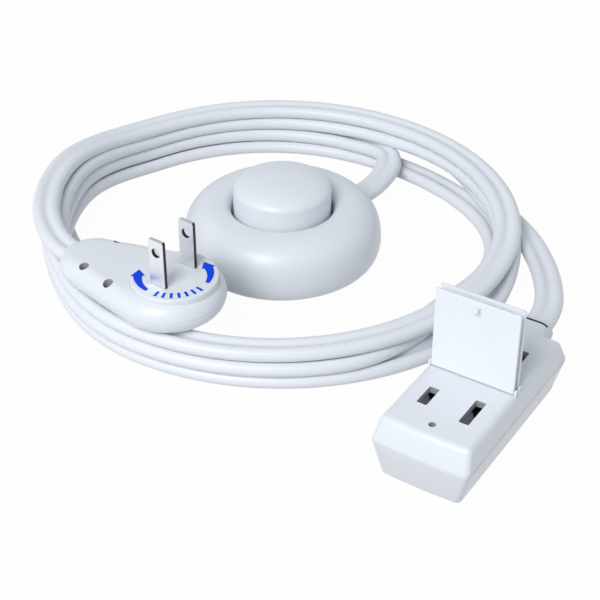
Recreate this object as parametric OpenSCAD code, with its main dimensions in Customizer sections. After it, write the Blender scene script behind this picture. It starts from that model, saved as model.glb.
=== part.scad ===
// Indoor extension cord: a flat plug with a swivelling blade disc, a round foot switch,
// a two-outlet block with flip-up lids, and a flat two-wire cord laid in a stacked ring.
// +Z is up. The origin is on the floor, under the centre of the foot switch.

/* [Cord] */
// Width of the flat two-wire cord
cord_w = 8.4; // [7.6:0.1:9]
// Thickness of the flat cord
cord_t = 4.2; // [3.6:0.1:4.4]
// Outer radius of the coiled ring of cord
coil_outer_r = 77; // [75:0.5:78]
// Inner radius of the coiled ring of cord
coil_inner_r = 61; // [55:0.5:64]

/* [Foot switch housing] */
// Radius of the dome where it is widest
dome_r = 31; // [30:0.25:36]
// Height of the widest line of the dome
dome_waist_z = 6; // [5:0.25:8]
// Height of the dome's crest
dome_crest_z = 18.2; // [17:0.2:20]
// Radius of the flat crest of the dome
dome_crest_r = 20; // [19.4:0.1:21]
// Radius of the dome's lower rim
dome_rim_r = 28.6; // [28:0.1:30]
// Wall of the dome
dome_wall = 2.2; // [1.8:0.1:2.4]
// Fullness of the dome's shoulder, where 2 is an ellipse
dome_full = 2.3; // [2:0.1:3]
// Rounding of the dome's edge round the button
dome_lip = 3; // [2:0.1:3.2]
// Thickness of the base plate
base_t = 2.4; // [2.2:0.1:3]
// Height of the base plate above the floor
base_lift = 0.4; // [0.3:0.1:0.6]
// Radius of the rubber sole pad
pad_r = 18; // [12:0.5:19]
// Thickness of the rubber sole pad
pad_t = 1.2; // [1:0.1:1.4]
// Distance of the housing screws from the centre
boss_at = 23; // [22.6:0.1:23.2]
// Radius of the screw bosses under the dome
boss_r = 2.6; // [2.2:0.1:2.8]

/* [Foot switch button] */
// Radius of the button
button_r = 15.2; // [14.6:0.1:15.4]
// Gap between the button and the dome
button_gap = 0.8; // [0.3:0.05:1]
// Height of the button's top, not pressed
button_top_z = 28.2; // [27.6:0.2:31]
// Height where the button's side starts to curve in
button_side_z = 15.8; // [15:0.2:17]
// Fullness of the button's crown, where 2 is an ellipse
button_full = 2.8; // [2.4:0.1:3.4]
// Wall of the button
button_wall = 2; // [1.6:0.1:2.2]
// Travel of the button
button_travel = 5; // [3:0.25:5]
// Underside of the button's stop flange, not pressed
flange_z = 9; // [8.6:0.1:9.6]
// Thickness of the stop flange
flange_t = 1.8; // [1.4:0.1:2]
// Width of the stop flange beyond the button's opening
flange_reach = 2.6; // [1.8:0.1:2.8]

/* [Switch mechanism] */
// Number of teeth on the ratchet wheel
wheel_teeth = 8; // [8:2:8]
// Tip radius of the ratchet wheel
wheel_r = 8; // [7.6:0.1:8.2]
// Depth of the ratchet teeth
tooth_depth = 2.5; // [2:0.1:2.8]
// Thickness of the ratchet wheel
wheel_w = 3; // [2.4:0.1:3.4]
// Tip radius of the four-lobed cam beside the ratchet wheel
cam_r = 5; // [4.4:0.1:5.2]
// Width of the cam
cam_w = 2.8; // [2:0.1:3]
// Radius of the steel axle
axle_r = 1.2; // [1:0.05:1.5]
// Distance of the axle behind the centre of the switch
wheel_back = 1; // [0.8:0.1:1.4]
// Thickness of the axle's two bearing cheeks
cheek_t = 2; // [1.6:0.1:2.2]
// Thickness of the button's pawl
pawl_t = 2; // [1.6:0.1:2.2]
// Mean radius of the return spring
spring_r = 11.5; // [11.3:0.1:11.8]
// Wire diameter of the return spring
spring_wire = 1.1; // [0.8:0.1:1.2]
// Turns of the return spring
spring_turns = 4; // [3:0.5:5]
// Thickness of the brass contact strips
strip_t = 0.4; // [0.3:0.05:0.5]
// Distance between the two contact strips
strip_gap = 1.4; // [1.2:0.1:1.8]

/* [Plug] */
// Radius of the plug's round end
plug_r = 16.7; // [16.2:0.1:18]
// Thickness of the plug
plug_t = 11; // [10.6:0.1:12]
// Distance from the disc's centre to the end of the tail
plug_len = 39; // [38:0.5:42]
// Width of the tail's end
tail_w = 12; // [11.4:0.1:13]
// Thickness of the tail's end
tail_t = 9; // [8:0.1:10]
// Radius of the swivelling disc
disc_r = 12.6; // [12:0.1:12.8]
// Height of the disc above the plug's face
disc_proud = 0.4; // [0.2:0.1:0.8]
// Width of the flange that holds the disc in
disc_flange = 1.4; // [1:0.1:1.5]
// Width of the blades
blade_w = 6.35; // [6:0.05:7]
// Thickness of the blades
blade_t = 1.5; // [1.3:0.05:1.7]
// Length of the blades above the disc
blade_len = 16; // [14:0.5:18]
// Distance between the blades
blade_pitch = 12.7; // [12.2:0.1:13]
// Radius of the holes near the blades' tips
blade_hole_r = 1.6; // [1.2:0.1:1.8]
// Distance of the blades' holes from their tips
blade_hole_at = 3.9; // [3.4:0.1:5]
// Cut corner of the blades' tips
blade_corner = 1.2; // [0.6:0.1:1.8]
// Turn of the disc as it lies
disc_turn = -4.7; // [-8:0.1:0]
// Radius of the inner slip ring
slip_inner_r = 3.4; // [2.6:0.1:3.8]
// Outer radius of the outer slip ring
slip_outer_r = 10.6; // [10:0.1:11]
// Width of the outer slip ring
slip_w = 3.4; // [2.6:0.1:3.6]
// Thickness of the slip rings
slip_t = 0.6; // [0.4:0.05:0.8]
// Floor of the plug's shells
plug_floor = 2.6; // [2:0.1:3]

/* [Outlet block] */
// Width at the parting line
block_w = 28; // [27.6:0.1:31]
// Length at the parting line
block_l = 56.6; // [56:0.2:60]
// Height of the parting line
block_mid_z = 11.1; // [10.6:0.1:12]
// Height of the top face
block_h = 17.8; // [17.2:0.1:19]
// Width of the underside
base_w = 22.7; // [22.4:0.1:25]
// Length of the underside
base_l = 53; // [52:0.2:55]
// Width of the top face
top_w = 25.4; // [25:0.1:26.6]
// Length of the top face
top_l = 50.8; // [50.6:0.2:53]
// Radius of the upright corners
block_corner = 2.4; // [1.6:0.1:3]
// Rounding of the top and bottom edges
block_edge = 0.8; // [0.5:0.1:1.2]
// Wall of the block
block_wall = 1.8; // [1.5:0.1:2]
// Thickness of the top
roof_t = 2; // [1.6:0.1:2.4]
// Width of the outlet slots
slot_w = 2.7; // [2.2:0.1:3]
// Length of the narrow slots
slot_short = 7.2; // [6.8:0.1:7.6]
// Length of the wide slots
slot_long = 9.9; // [8.2:0.1:10.2]
// Distance between the slots of a pair
slot_pitch = 12.7; // [12.4:0.1:13]
// Distance of the outlets from the ends of the block
outlet_inset = 15.1; // [14.6:0.1:15.6]
// Thickness of the contact spring leaves
leaf_t = 0.5; // [0.4:0.05:0.6]
// Opening between the two leaves of a contact
leaf_gap = 1.2; // [0.8:0.1:1.4]
// Length of each contact's leaves
leaf_l = 6; // [5:0.2:7]
// Distance of the block's screws from its ends
block_screw_at = 9.2; // [8.8:0.1:9.4]

/* [Outlet lids] */
// Width of the lids
lid_w = 24; // [20:0.2:24.6]
// Height of the lids above the hinge pin
lid_h = 24; // [23:0.1:24.4]
// Thickness of the lids
lid_t = 1.1; // [0.9:0.05:1.2]
// Corner radius of the lids
lid_corner = 1.6; // [0.8:0.1:3]
// Distance between the two hinge pins
lid_pitch = 2.2; // [2:0.1:3]
// Radius of the hinge pins
pin_r = 0.4; // [0.3:0.05:0.45]
// Radius of the bead along each lid's hinge edge
bead_r = 0.85; // [0.75:0.05:0.9]
// Thickness of the ears that hold the ends of the hinge pins
ear_t = 0.6; // [0.5:0.05:0.65]
// Distance of the snap pegs from the hinge pin
peg_at = 22; // [21.4:0.1:22.4]
// Radius of the snap pegs
peg_r = 1; // [0.8:0.05:1.1]
// Length of the snap pegs
peg_l = 1.5; // [1:0.1:1.8]

/* [Cord gland] */
// Length of the gland outside the block
gland_l = 14; // [12:0.5:18]
// Width of the gland at the block
gland_w = 12; // [11.6:0.1:13]
// Thickness of the gland at the block
gland_t = 8; // [7.6:0.1:8.6]
// Height of the gland's centre
gland_z = 9.6; // [9:0.1:10.4]
// Width of the groove near the gland's end
gland_groove = 1.2; // [0.8:0.1:1.6]

/* [Fasteners] */
// Radius of the screws' shanks
screw_r = 1.1; // [0.9:0.05:1.2]
// Radius of the screws' heads
head_r = 1.8; // [1.6:0.05:2]
// Thickness of the screws' heads
head_t = 1.2; // [0.9:0.05:1.2]
// Length of the foot switch's screws under the head
switch_screw_l = 7; // [6:0.5:8]
// Length of the plug's screws under the head
plug_screw_l = 5; // [4:0.5:5.5]
// Length of the block's screws under the head
block_screw_l = 8; // [7:0.5:9]
// Length of the cord clamps' screws under the head
clamp_screw_l = 6; // [5:0.5:7]
// Depth left under the tips of the screws
tip_room = 2.2; // [1.6:0.1:2.4]

/* [Clearances] */
// Clearance between fixed pieces
fit = 0.2; // [0.15:0.05:0.3]
// Radial clearance of pins and shafts that turn
run = 0.06; // [0.04:0.01:0.1]
// Radial clearance round screws and blades
snug = 0.05; // [0.03:0.01:0.08]
// Clearance round the cord where it enters a housing
cord_fit = 0.1; // [0.05:0.05:0.15]

/* [Hidden] */

$fn = 64;
white = "white";
steel = "silver";
brass = "goldenrod";
rubber = "gainsboro";
// Overrun of cuts, so that no cut ends on a face
over = 1;
// Thickness of the slabs that a tapered body is drawn between
slab_t = 0.02;

// Foot switch
floor_z = base_lift + base_t;
rim_z = 2 * base_lift;
hole_r = button_r + button_gap;
base_r = dome_rim_r - dome_wall - fit;
skirt_z = flange_z + flange_t + 0.3;
port_angles = [44, 224];
boss_angles = [for (a = port_angles, b = [45, 135]) a + b];
port_z = floor_z + 1.1 + cord_t / 2;
clamp_at = 22;
clamp_w = 4;
clamp_t = 2.4;
pillar_r = 1.9;
pillar_at = cord_w / 2 + fit + pillar_r + 0.2;
clamp_screw_r = 0.8;
clamp_head_r = 1.5;

// Ratchet wheel, its pawl and the contacts
wheel_clear = 0.4;
axle_z = floor_z + wheel_r + wheel_clear;
wheel_step = 360 / wheel_teeth;
cheek_in = wheel_w / 2 + wheel_clear;
cheek_out = wheel_w / 2 + cam_w + wheel_clear;
cheek_w = 6;
strip_x = -wheel_back - cam_r - 0.3 - strip_t;
strip_w = cam_w - 0.4;
spring_top_z = button_side_z + 5.2;

// Plug
plug_x = -29.8;
plug_y = -49;
plug_heading = -31.8;
plug_bottom_z = 3 * cord_t + fit / 2;
plug_z = plug_bottom_z + plug_t / 2;
waist_at = 20;
waist_r = 12.6;
screw_spots = [[-25.5, 7.2], [-25.5, -7.2], [-14.8, 10.4], [-14.8, -10.4]];
head_seat = 1.9;
well_r = slip_outer_r + 2;
well_z = plug_floor - plug_t / 2;
foot_gap = 0.3;
foot_t = 0.8;
disc_under = fit;
disc_flange_t = 3;

// Outlet block
block_x = 35.6;
block_y = -111.6;
block_heading = 57.3;
lid_mid_x = block_l / 2 + 0.3;
near_x = outlet_inset;
far_x = block_l - outlet_inset - 1;
lid_axis_z = block_h + lid_t / 2 + 0.1;
bead_clear = 0.15;
ear_y = lid_w / 2 + bead_clear;
// How far the end walls lean in over the gland's flange, and under it
lean_over = (block_l - top_l) / 2 * (gland_z + gland_t / 2 - block_mid_z) / (block_h - roof_t - block_mid_z);
lean_under = (block_l - base_l) / 2 * (block_mid_z - gland_z + gland_t / 2) / (block_mid_z - block_wall);
gland_seat = block_l - block_wall - max(lean_over, lean_under) - fit;
gland_flange_t = 2;

// Route of the cord from the plug's tail up to the top turn of the coil
plug_route = [
    [-55.3, -33.2, plug_z], [-59.1, -30.8, plug_z], [-63, -28.4, plug_z], [-67.5, -24.6, plug_z],
    [-71, -19.5, plug_z], [-73.4, -12.5, plug_z - 0.2], [-74.8, -5, plug_z - 0.8],
    [-75.1, 3, plug_z - 1.7], [-74.3, 10, plug_z - 2.6], [-72.6, 15.6, 3.5 * cord_t]
];
// Route from the inside of the coil to the first port of the foot switch
switch_in_route = [
    [35.6, 50, 6.6], [35.2, 44.5, 6.4], [33.6, 38, 6.2], [31, 32, port_z],
    [27.6, 26.7, port_z], [22.3, 21.5, port_z], [14.4, 13.9, port_z]
];
// Route from the second port, under the plug, to the inside of the coil
switch_out_route = [
    [-14.4, -13.9, port_z], [-22.3, -21.5, port_z], [-27, -25.8, 5], [-32.5, -29.3, 3.4],
    [-39, -31, 2.3], [-45.6, -30, 2.1], [-51.6, -26.6, 2.1], [-56.4, -21.6, 2.1], [-59.6, -15.6, 2.1]
];
// Route from the outside of the coil to the gland of the outlet block
outlet_route = [
    [71.4, 28, 10], [74.8, 18, 9], [77.4, 8, 8.4], [78.6, -4, 8.4], [79.2, -16, 8.5],
    [79.1, -27, 8.8], [78.5, -36.5, 9.3], [76.9, -45, gland_z], [73.9, -51.9, gland_z],
    [69.2, -59.3, gland_z], [64.9, -66, gland_z]
];

// Curve that falls from a flat crest at [r0, z1] to an upright waist at [r1, z0]
function fall(r0, r1, z0, z1, n, steps = 14) = [
    for (i = [0:steps]) let (a = 90 * i / steps)
        [r0 + (r1 - r0) * pow(sin(a), 2 / n), z0 + (z1 - z0) * pow(cos(a), 2 / n)]
];

// Quarter ellipse that turns in from an upright waist at [r1, z1] to [r0, z0]
function tuck(r0, r1, z0, z1, steps = 6) = [
    for (i = [1:steps]) let (a = 90 * i / steps)
        [r0 + (r1 - r0) * cos(a), z1 - (z1 - z0) * sin(a)]
];

function reversed(list) = [for (i = [len(list) - 1:-1:0]) list[i]];

// Outline of a flat cord's section, ten-sided
function flat_section(w, t) = let (r = t / 2, c = w / 2 - r) concat(
    [for (a = [-90:45:90]) [c + r * cos(a), r * sin(a)]],
    [for (a = [90:45:270]) [-c + r * cos(a), r * sin(a)]]
);

function round_section(d, sides) = [
    for (i = [0:sides - 1]) let (a = 360 * i / sides) [d / 2 * cos(a), d / 2 * sin(a)]
];

// Level vector to the right of a path at its point i
function right_of(path, i) =
    let (d = path[min(i + 1, len(path) - 1)] - path[max(i - 1, 0)], l = norm([d.x, d.y]))
        [d.y / l, -d.x / l, 0];

module swept(path, section) {
    m = len(section);
    last = len(path) - 1;
    polyhedron(
        [for (i = [0:last]) let (side = right_of(path, i)) for (q = section)
            path[i] + q.x * side + [0, 0, q.y]],
        concat(
            [[for (j = [m - 1:-1:0]) j]],
            [for (i = [0:last - 1], j = [0:m - 1])
                [i * m + j, i * m + (j + 1) % m, (i + 1) * m + (j + 1) % m, (i + 1) * m + j]],
            [[for (j = [0:m - 1]) last * m + j]]
        )
    );
}

module cord_lead(route) {
    color(white) swept(route, flat_section(cord_w, cord_t));
}

module obround(w, t) {
    hull() {
        for (s = [-1, 1]) translate([s * (w - t) / 2, 0]) circle(d = t, $fn = 32);
    }
}

module screw(length, radius = screw_r, head = head_r) {
    cylinder(r = head, h = head_t);
    translate([0, 0, head_t]) cylinder(r = radius, h = length);
}

// ---- Foot switch ----

module at_ports() {
    for (a = port_angles) rotate(a) children();
}

module at_bosses() {
    for (a = boss_angles) rotate(a) translate([boss_at, 0, 0]) children();
}

module dome_profile() {
    crest_in = dome_crest_z - dome_wall;
    lip = [for (a = [0:15:75]) [hole_r + dome_lip * (1 - cos(a)), dome_crest_z - dome_lip * (1 - sin(a))]];
    outer = concat(
        [[hole_r, skirt_z]], lip,
        fall(max(dome_crest_r, hole_r + dome_lip), dome_r, dome_waist_z, dome_crest_z, dome_full),
        tuck(dome_rim_r, dome_r, rim_z, dome_waist_z)
    );
    inner = concat(
        fall(dome_crest_r, dome_r - dome_wall, dome_waist_z, crest_in, dome_full),
        tuck(dome_rim_r - dome_wall, dome_r - dome_wall, rim_z, dome_waist_z)
    );
    skirt = [[hole_r + 1.6, crest_in], [hole_r + 1.6, skirt_z]];
    polygon(concat(outer, reversed(inner), skirt));
}

module switch_dome() {
    color(white) difference() {
        union() {
            rotate_extrude() dome_profile();
            at_bosses() translate([0, 0, floor_z])
                cylinder(r = boss_r, h = dome_crest_z - dome_wall - floor_z - 0.2);
        }
        at_bosses() translate([0, 0, floor_z - over])
            cylinder(r = screw_r + snug, h = base_lift + head_t + switch_screw_l + tip_room - floor_z + over);
        at_ports() translate([dome_r - dome_wall - 2, 0, port_z]) rotate([90, 0, 90])
            linear_extrude(dome_wall + 4) obround(cord_w + 2 * cord_fit, cord_t + 2 * cord_fit);
    }
}

module switch_base() {
    cheek_h = axle_z + axle_r + 2.2 - floor_z;
    color(white) difference() {
        union() {
            translate([0, 0, base_lift]) cylinder(r = base_r, h = base_t);
            // Cheeks that carry the ratchet wheel's axle
            for (y = [-cheek_in - cheek_t, cheek_out])
                translate([-wheel_back - cheek_w / 2, y, floor_z - slab_t]) cube([cheek_w, cheek_t, cheek_h]);
            // Cradle under the cord and pillars beside it, at each port
            at_ports() translate([clamp_at, 0, floor_z - slab_t]) {
                translate([-clamp_w / 2, -cord_w / 2, 0])
                    cube([clamp_w, cord_w, port_z - cord_t / 2 - floor_z + slab_t]);
                for (s = [-1, 1]) translate([0, s * pillar_at, 0])
                    cylinder(r = pillar_r, h = port_z + cord_t / 2 - floor_z + slab_t);
            }
            // Low ring that centres the return spring
            translate([0, 0, floor_z - slab_t]) difference() {
                cylinder(r = spring_r + spring_wire / 2 + 1.4, h = 1);
                translate([0, 0, -over]) cylinder(r = spring_r + spring_wire / 2 + 0.3, h = 3);
            }
        }
        translate([0, 0, base_lift - over]) cylinder(r = pad_r + fit, h = pad_t - base_lift + over);
        at_bosses() translate([0, 0, base_lift - over]) {
            cylinder(r = screw_r + snug, h = base_t + 2 * over);
            cylinder(r = head_r + snug, h = head_t + over);
        }
        at_ports() for (s = [-1, 1]) translate([clamp_at, s * pillar_at, floor_z])
            cylinder(r = clamp_screw_r + snug, h = 9);
        translate([-wheel_back, 0, axle_z]) rotate([90, 0, 0])
            cylinder(r = axle_r + snug, h = 40, center = true);
    }
}

module switch_pad() {
    color(rubber) cylinder(r = pad_r, h = pad_t);
}

module switch_screws() {
    color(steel) at_bosses() translate([0, 0, base_lift]) screw(switch_screw_l);
}

module switch_button() {
    inner_r = button_r - button_wall;
    flange_top = flange_z + flange_t;
    outer = concat(
        fall(0, button_r, button_side_z, button_top_z, button_full),
        [[button_r, flange_top], [hole_r + flange_reach, flange_top], [hole_r + flange_reach, flange_z]]
    );
    inner = concat(
        fall(0, inner_r, button_side_z, button_top_z - button_wall, button_full),
        [[inner_r, flange_z]]
    );
    pawl_x = wheel_r + 0.3 - wheel_back;
    pawl_foot = axle_z + 0.3;
    color(white) union() {
        rotate_extrude() polygon(concat(outer, reversed(inner)));
        // Pawl that drives the ratchet wheel down by one tooth
        translate([0, wheel_w / 2, 0]) rotate([90, 0, 0]) linear_extrude(wheel_w) polygon([
            [pawl_x + pawl_t, button_top_z - button_wall - 0.5], [pawl_x, button_top_z - button_wall - 0.5],
            [pawl_x, pawl_foot + 2.2], [pawl_x - 2, pawl_foot + 0.6], [pawl_x - 2, pawl_foot],
            [pawl_x + pawl_t, pawl_foot]
        ]);
    }
}

module button_spring() {
    bottom = floor_z + spring_wire / 2 + 0.05;
    steps = 20;
    count = spring_turns * steps;
    color(steel) swept(
        [for (i = [0:count]) let (a = 360 * i / steps)
            [spring_r * cos(a), spring_r * sin(a), bottom + (spring_top_z - bottom) * i / count]],
        round_section(spring_wire, 6)
    );
}

// Ratchet wheel with a four-lobed cam beside it, drawn along +Z
module wheel_profile() {
    root = wheel_r - tooth_depth;
    polygon([for (i = [0:wheel_teeth - 1], k = [0:3]) let (a = i * wheel_step)
        k == 0 ? root * [cos(a), sin(a)] :
        (root + tooth_depth * k / 3) * [cos(a + wheel_step * k / 3), sin(a + wheel_step * k / 3)]]);
}

module cam_profile() {
    polygon([for (a = [0:9:351]) let (r = cam_r - 0.4 * (1 - cos(wheel_teeth / 2 * a)))
        r * [cos(a), sin(a)]]);
}

module ratchet_wheel() {
    color(rubber) translate([-wheel_back, 0, axle_z]) rotate([90, 0, 0]) difference() {
        union() {
            translate([0, 0, -wheel_w / 2]) linear_extrude(wheel_w) wheel_profile();
            translate([0, 0, -wheel_w / 2 - cam_w]) linear_extrude(cam_w + 0.1) cam_profile();
        }
        cylinder(r = axle_r + run, h = 20, center = true);
    }
}

module wheel_axle() {
    color(steel) translate([-wheel_back, cheek_out + cheek_t, axle_z]) rotate([90, 0, 0])
        cylinder(r = axle_r, h = cheek_in + cheek_out + 2 * cheek_t);
}

// Upright contact strip on a foot that is fixed to the base
module contact_strip(x, foot) {
    y = wheel_w / 2 + 0.2;
    color(brass) union() {
        translate([x, y, floor_z]) cube([strip_t, strip_w, axle_z + cam_r - floor_z]);
        translate([min(x, x + foot), y, floor_z]) cube([abs(foot), strip_w, strip_t]);
        translate([x + strip_t / 2, y + strip_w / 2, axle_z + cam_r - 1.6]) rotate([0, 90, 0])
            cylinder(r = 0.9, h = strip_t + 0.5, center = true);
    }
}

module contact_moving() {
    contact_strip(strip_x, 2.4);
}

module contact_fixed() {
    contact_strip(strip_x - strip_gap - strip_t, -1.2);
}

module cord_clamps() {
    color(white) at_ports() translate([clamp_at, 0, port_z + cord_t / 2]) difference() {
        translate([-clamp_w / 2, -pillar_at - pillar_r, 0]) cube([clamp_w, 2 * (pillar_at + pillar_r), clamp_t]);
        for (s = [-1, 1]) translate([0, s * pillar_at, -over])
            cylinder(r = clamp_screw_r + snug, h = clamp_t + 2 * over);
    }
}

module clamp_screws() {
    color(steel) at_ports() for (s = [-1, 1])
        translate([clamp_at, s * pillar_at, port_z + cord_t / 2 + clamp_t + 0.8]) rotate([180, 0, 0]) {
            cylinder(r = clamp_head_r, h = 0.8);
            cylinder(r = clamp_screw_r, h = clamp_screw_l);
        }
}

// ---- Plug ----

// The plug's own frame: the disc's centre at the origin, the tail along -X, mid-height at zero
module at_plug() {
    translate([plug_x, plug_y, plug_z]) rotate(plug_heading) children();
}

module pill(radius, thickness) {
    rotate_extrude($fn = 48) intersection() {
        translate([radius - thickness / 2, 0]) circle(d = thickness, $fn = 20);
        translate([0, -thickness]) square([radius, 2 * thickness]);
    }
}

module plug_form() {
    hull() {
        pill(plug_r, plug_t);
        translate([-waist_at, 0, 0]) pill(waist_r, (2 * plug_t + tail_t) / 3);
        translate([tail_w / 2 - plug_len, 0, 0]) pill(tail_w / 2, tail_t);
    }
}

module plug_half(side) {
    intersection() {
        plug_form();
        translate([-60, -30, side > 0 ? 0 : -20]) cube([90, 60, 20]);
    }
}

module plug_cord_cut() {
    translate([-plug_len - over, 0, 0]) rotate([90, 0, 90])
        linear_extrude(11) obround(cord_w + 2 * cord_fit, cord_t + 2 * cord_fit);
    translate([-plug_len + 9, -3.4, well_z + 0.6]) cube([plug_len - 18, 6.8, 2 * -well_z - 1.2]);
}

module at_plug_screws() {
    for (p = screw_spots) translate([p.x, p.y, 0]) children();
}

module plug_rear_shell() {
    color(white) at_plug() difference() {
        plug_half(-1);
        translate([0, 0, well_z]) cylinder(r = well_r, h = 20);
        plug_cord_cut();
        at_plug_screws() translate([0, 0, head_seat - plug_screw_l - tip_room / 2])
            cylinder(r = screw_r + snug, h = plug_t);
    }
}

module plug_front_shell() {
    flange_r = disc_r + disc_flange + fit;
    color(white) at_plug() difference() {
        plug_half(1);
        translate([0, 0, -over]) cylinder(r = flange_r, h = disc_under + disc_flange_t + fit + over);
        cylinder(r = disc_r + fit, h = 20);
        plug_cord_cut();
        at_plug_screws() {
            translate([0, 0, -over]) cylinder(r = screw_r + snug, h = 20);
            translate([0, 0, head_seat]) cylinder(r = head_r + snug, h = 20);
        }
    }
}

module plug_screws() {
    color(steel) at_plug() at_plug_screws() translate([0, 0, head_seat + head_t]) rotate([180, 0, 0])
        screw(plug_screw_l);
}

// The disc's own frame: the blades' width along X, one blade on each side in Y
module at_disc() {
    at_plug() rotate(disc_turn) children();
}

module plug_disc() {
    top = plug_t / 2 + disc_proud;
    chamfer = 0.4;
    color(white) at_disc() difference() {
        rotate_extrude() polygon([
            [0, disc_under], [disc_r + disc_flange, disc_under],
            [disc_r + disc_flange, disc_under + disc_flange_t],
            [disc_r, disc_under + disc_flange_t], [disc_r, top - chamfer], [disc_r - chamfer, top], [0, top]
        ]);
        for (s = [-1, 1]) translate([-blade_w / 2 - snug, s * blade_pitch / 2 - blade_t / 2 - snug, -over])
            cube([blade_w + 2 * snug, blade_t + 2 * snug, 20]);
    }
}

// Flat blade that stands on a foot; the foot's tip rubs on a slip ring
module blade(side, foot_end) {
    root = well_z + slip_t + foot_gap;
    height = plug_t / 2 + disc_proud + blade_len - root;
    y = side * blade_pitch / 2;
    color(steel) at_disc() translate([0, 0, root]) {
        translate([0, y + blade_t / 2, 0]) rotate([90, 0, 0]) linear_extrude(blade_t) difference() {
            polygon([
                [-blade_w / 2, 0], [blade_w / 2, 0], [blade_w / 2, height - blade_corner],
                [blade_w / 2 - blade_corner, height], [-blade_w / 2 + blade_corner, height],
                [-blade_w / 2, height - blade_corner]
            ]);
            translate([0, height - blade_hole_at]) circle(r = blade_hole_r);
        }
        translate([-blade_w / 2, min(y, foot_end), 0]) cube([blade_w, abs(foot_end - y), foot_t]);
    }
}

module blade_line() {
    blade(-1, -slip_inner_r / 2);
}

module blade_neutral() {
    blade(1, slip_outer_r - 0.6);
}

module slip_ring_inner() {
    color(brass) at_plug() translate([0, 0, well_z]) cylinder(r = slip_inner_r, h = slip_t);
}

module slip_ring_outer() {
    color(brass) at_plug() translate([0, 0, well_z]) difference() {
        cylinder(r = slip_outer_r, h = slip_t);
        translate([0, 0, -over]) cylinder(r = slip_outer_r - slip_w, h = slip_t + 2 * over);
    }
}

// ---- Outlet block ----

// The block's own frame: its near end at the origin, its length along +X, the floor at zero
module at_block() {
    translate([block_x, block_y, 0]) rotate(block_heading) children();
}

module slab(length, width, z) {
    translate([block_l / 2, 0, z]) linear_extrude(slab_t) offset(r = block_corner, $fn = 32)
        square([length - 2 * block_corner, width - 2 * block_corner], center = true);
}

module outlet_slots(depth) {
    for (x = [near_x, far_x]) translate([x, 0, block_h - depth]) {
        translate([-slot_short / 2, slot_pitch / 2 - slot_w / 2, 0]) cube([slot_short, slot_w, depth + over]);
        translate([-slot_long / 2, -slot_pitch / 2 - slot_w / 2, 0]) cube([slot_long, slot_w, depth + over]);
    }
}

module gland_cut() {
    translate([block_l - 6, 0, gland_z]) rotate([90, 0, 90])
        linear_extrude(12) obround(gland_w - 1.6 + 2 * cord_fit, gland_t - 1.4 + 2 * cord_fit);
}

module at_block_screws() {
    for (x = [block_screw_at, block_l - block_screw_at - 1]) translate([x, 0, 0]) children();
}

module outlet_lower_shell() {
    inset = 2 * block_wall;
    color(white) at_block() difference() {
        union() {
            difference() {
                hull() {
                    slab(base_l - 2 * block_edge, base_w - 2 * block_edge, 0);
                    slab(base_l, base_w, block_edge);
                    slab(block_l, block_w, block_mid_z - slab_t);
                }
                hull() {
                    slab(base_l - inset, base_w - inset, block_wall);
                    slab(block_l - inset, block_w - inset, block_mid_z);
                }
            }
            at_block_screws() translate([0, 0, block_wall / 2]) cylinder(r = boss_r, h = block_wall);
        }
        gland_cut();
        at_block_screws() translate([0, 0, -over]) {
            cylinder(r = screw_r + snug, h = 2 * block_wall + over);
            cylinder(r = head_r + snug, h = head_t + fit + over);
        }
    }
}

module outlet_upper_shell() {
    inset = 2 * block_wall;
    boss_z = block_wall * 1.5;
    groove_w = lid_pitch + 2 * (bead_r + bead_clear);
    color(white) at_block() difference() {
        union() {
            difference() {
                hull() {
                    slab(block_l, block_w, block_mid_z);
                    slab(top_l + block_edge, top_w + block_edge, block_h - block_edge);
                    slab(top_l, top_w, block_h - slab_t);
                }
                hull() {
                    slab(block_l - inset, block_w - inset, block_mid_z - slab_t);
                    slab(top_l - inset, top_w - inset, block_h - roof_t);
                }
                // Shallow groove under the lids' beads
                translate([lid_mid_x - groove_w / 2, -ear_y, lid_axis_z - bead_r - bead_clear])
                    cube([groove_w, 2 * ear_y, 9]);
            }
            at_block_screws() translate([0, 0, boss_z])
                cylinder(r = boss_r, h = block_h - roof_t / 2 - boss_z);
            // Low ears that hold the ends of the lids' hinge pins
            for (y = [-ear_y - ear_t, ear_y]) translate([lid_mid_x, y, 0]) {
                translate([-lid_pitch / 2 - bead_r, 0, block_h - 0.3])
                    cube([lid_pitch + 2 * bead_r, ear_t, lid_axis_z - block_h + 0.3]);
                for (s = [-1, 1]) translate([s * lid_pitch / 2, ear_t, lid_axis_z]) rotate([90, 0, 0])
                    cylinder(r = bead_r, h = ear_t);
            }
        }
        outlet_slots(roof_t + over);
        // Holes that the lids' snap pegs close into
        for (s = [-1, 1]) translate([lid_mid_x + s * (lid_pitch / 2 + peg_at), 0, block_h - peg_l - 0.4])
            cylinder(r = peg_r + 0.3, h = 9);
        at_lid_pins() cylinder(r = pin_r + snug, h = lid_w + 9, center = true);
        gland_cut();
        at_block_screws() translate([0, 0, boss_z - over])
            cylinder(r = screw_r + snug, h = fit + head_t + block_screw_l + tip_room - boss_z + over);
    }
}

module outlet_screws() {
    color(steel) at_block() at_block_screws() translate([0, 0, fit]) screw(block_screw_l);
}

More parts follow.
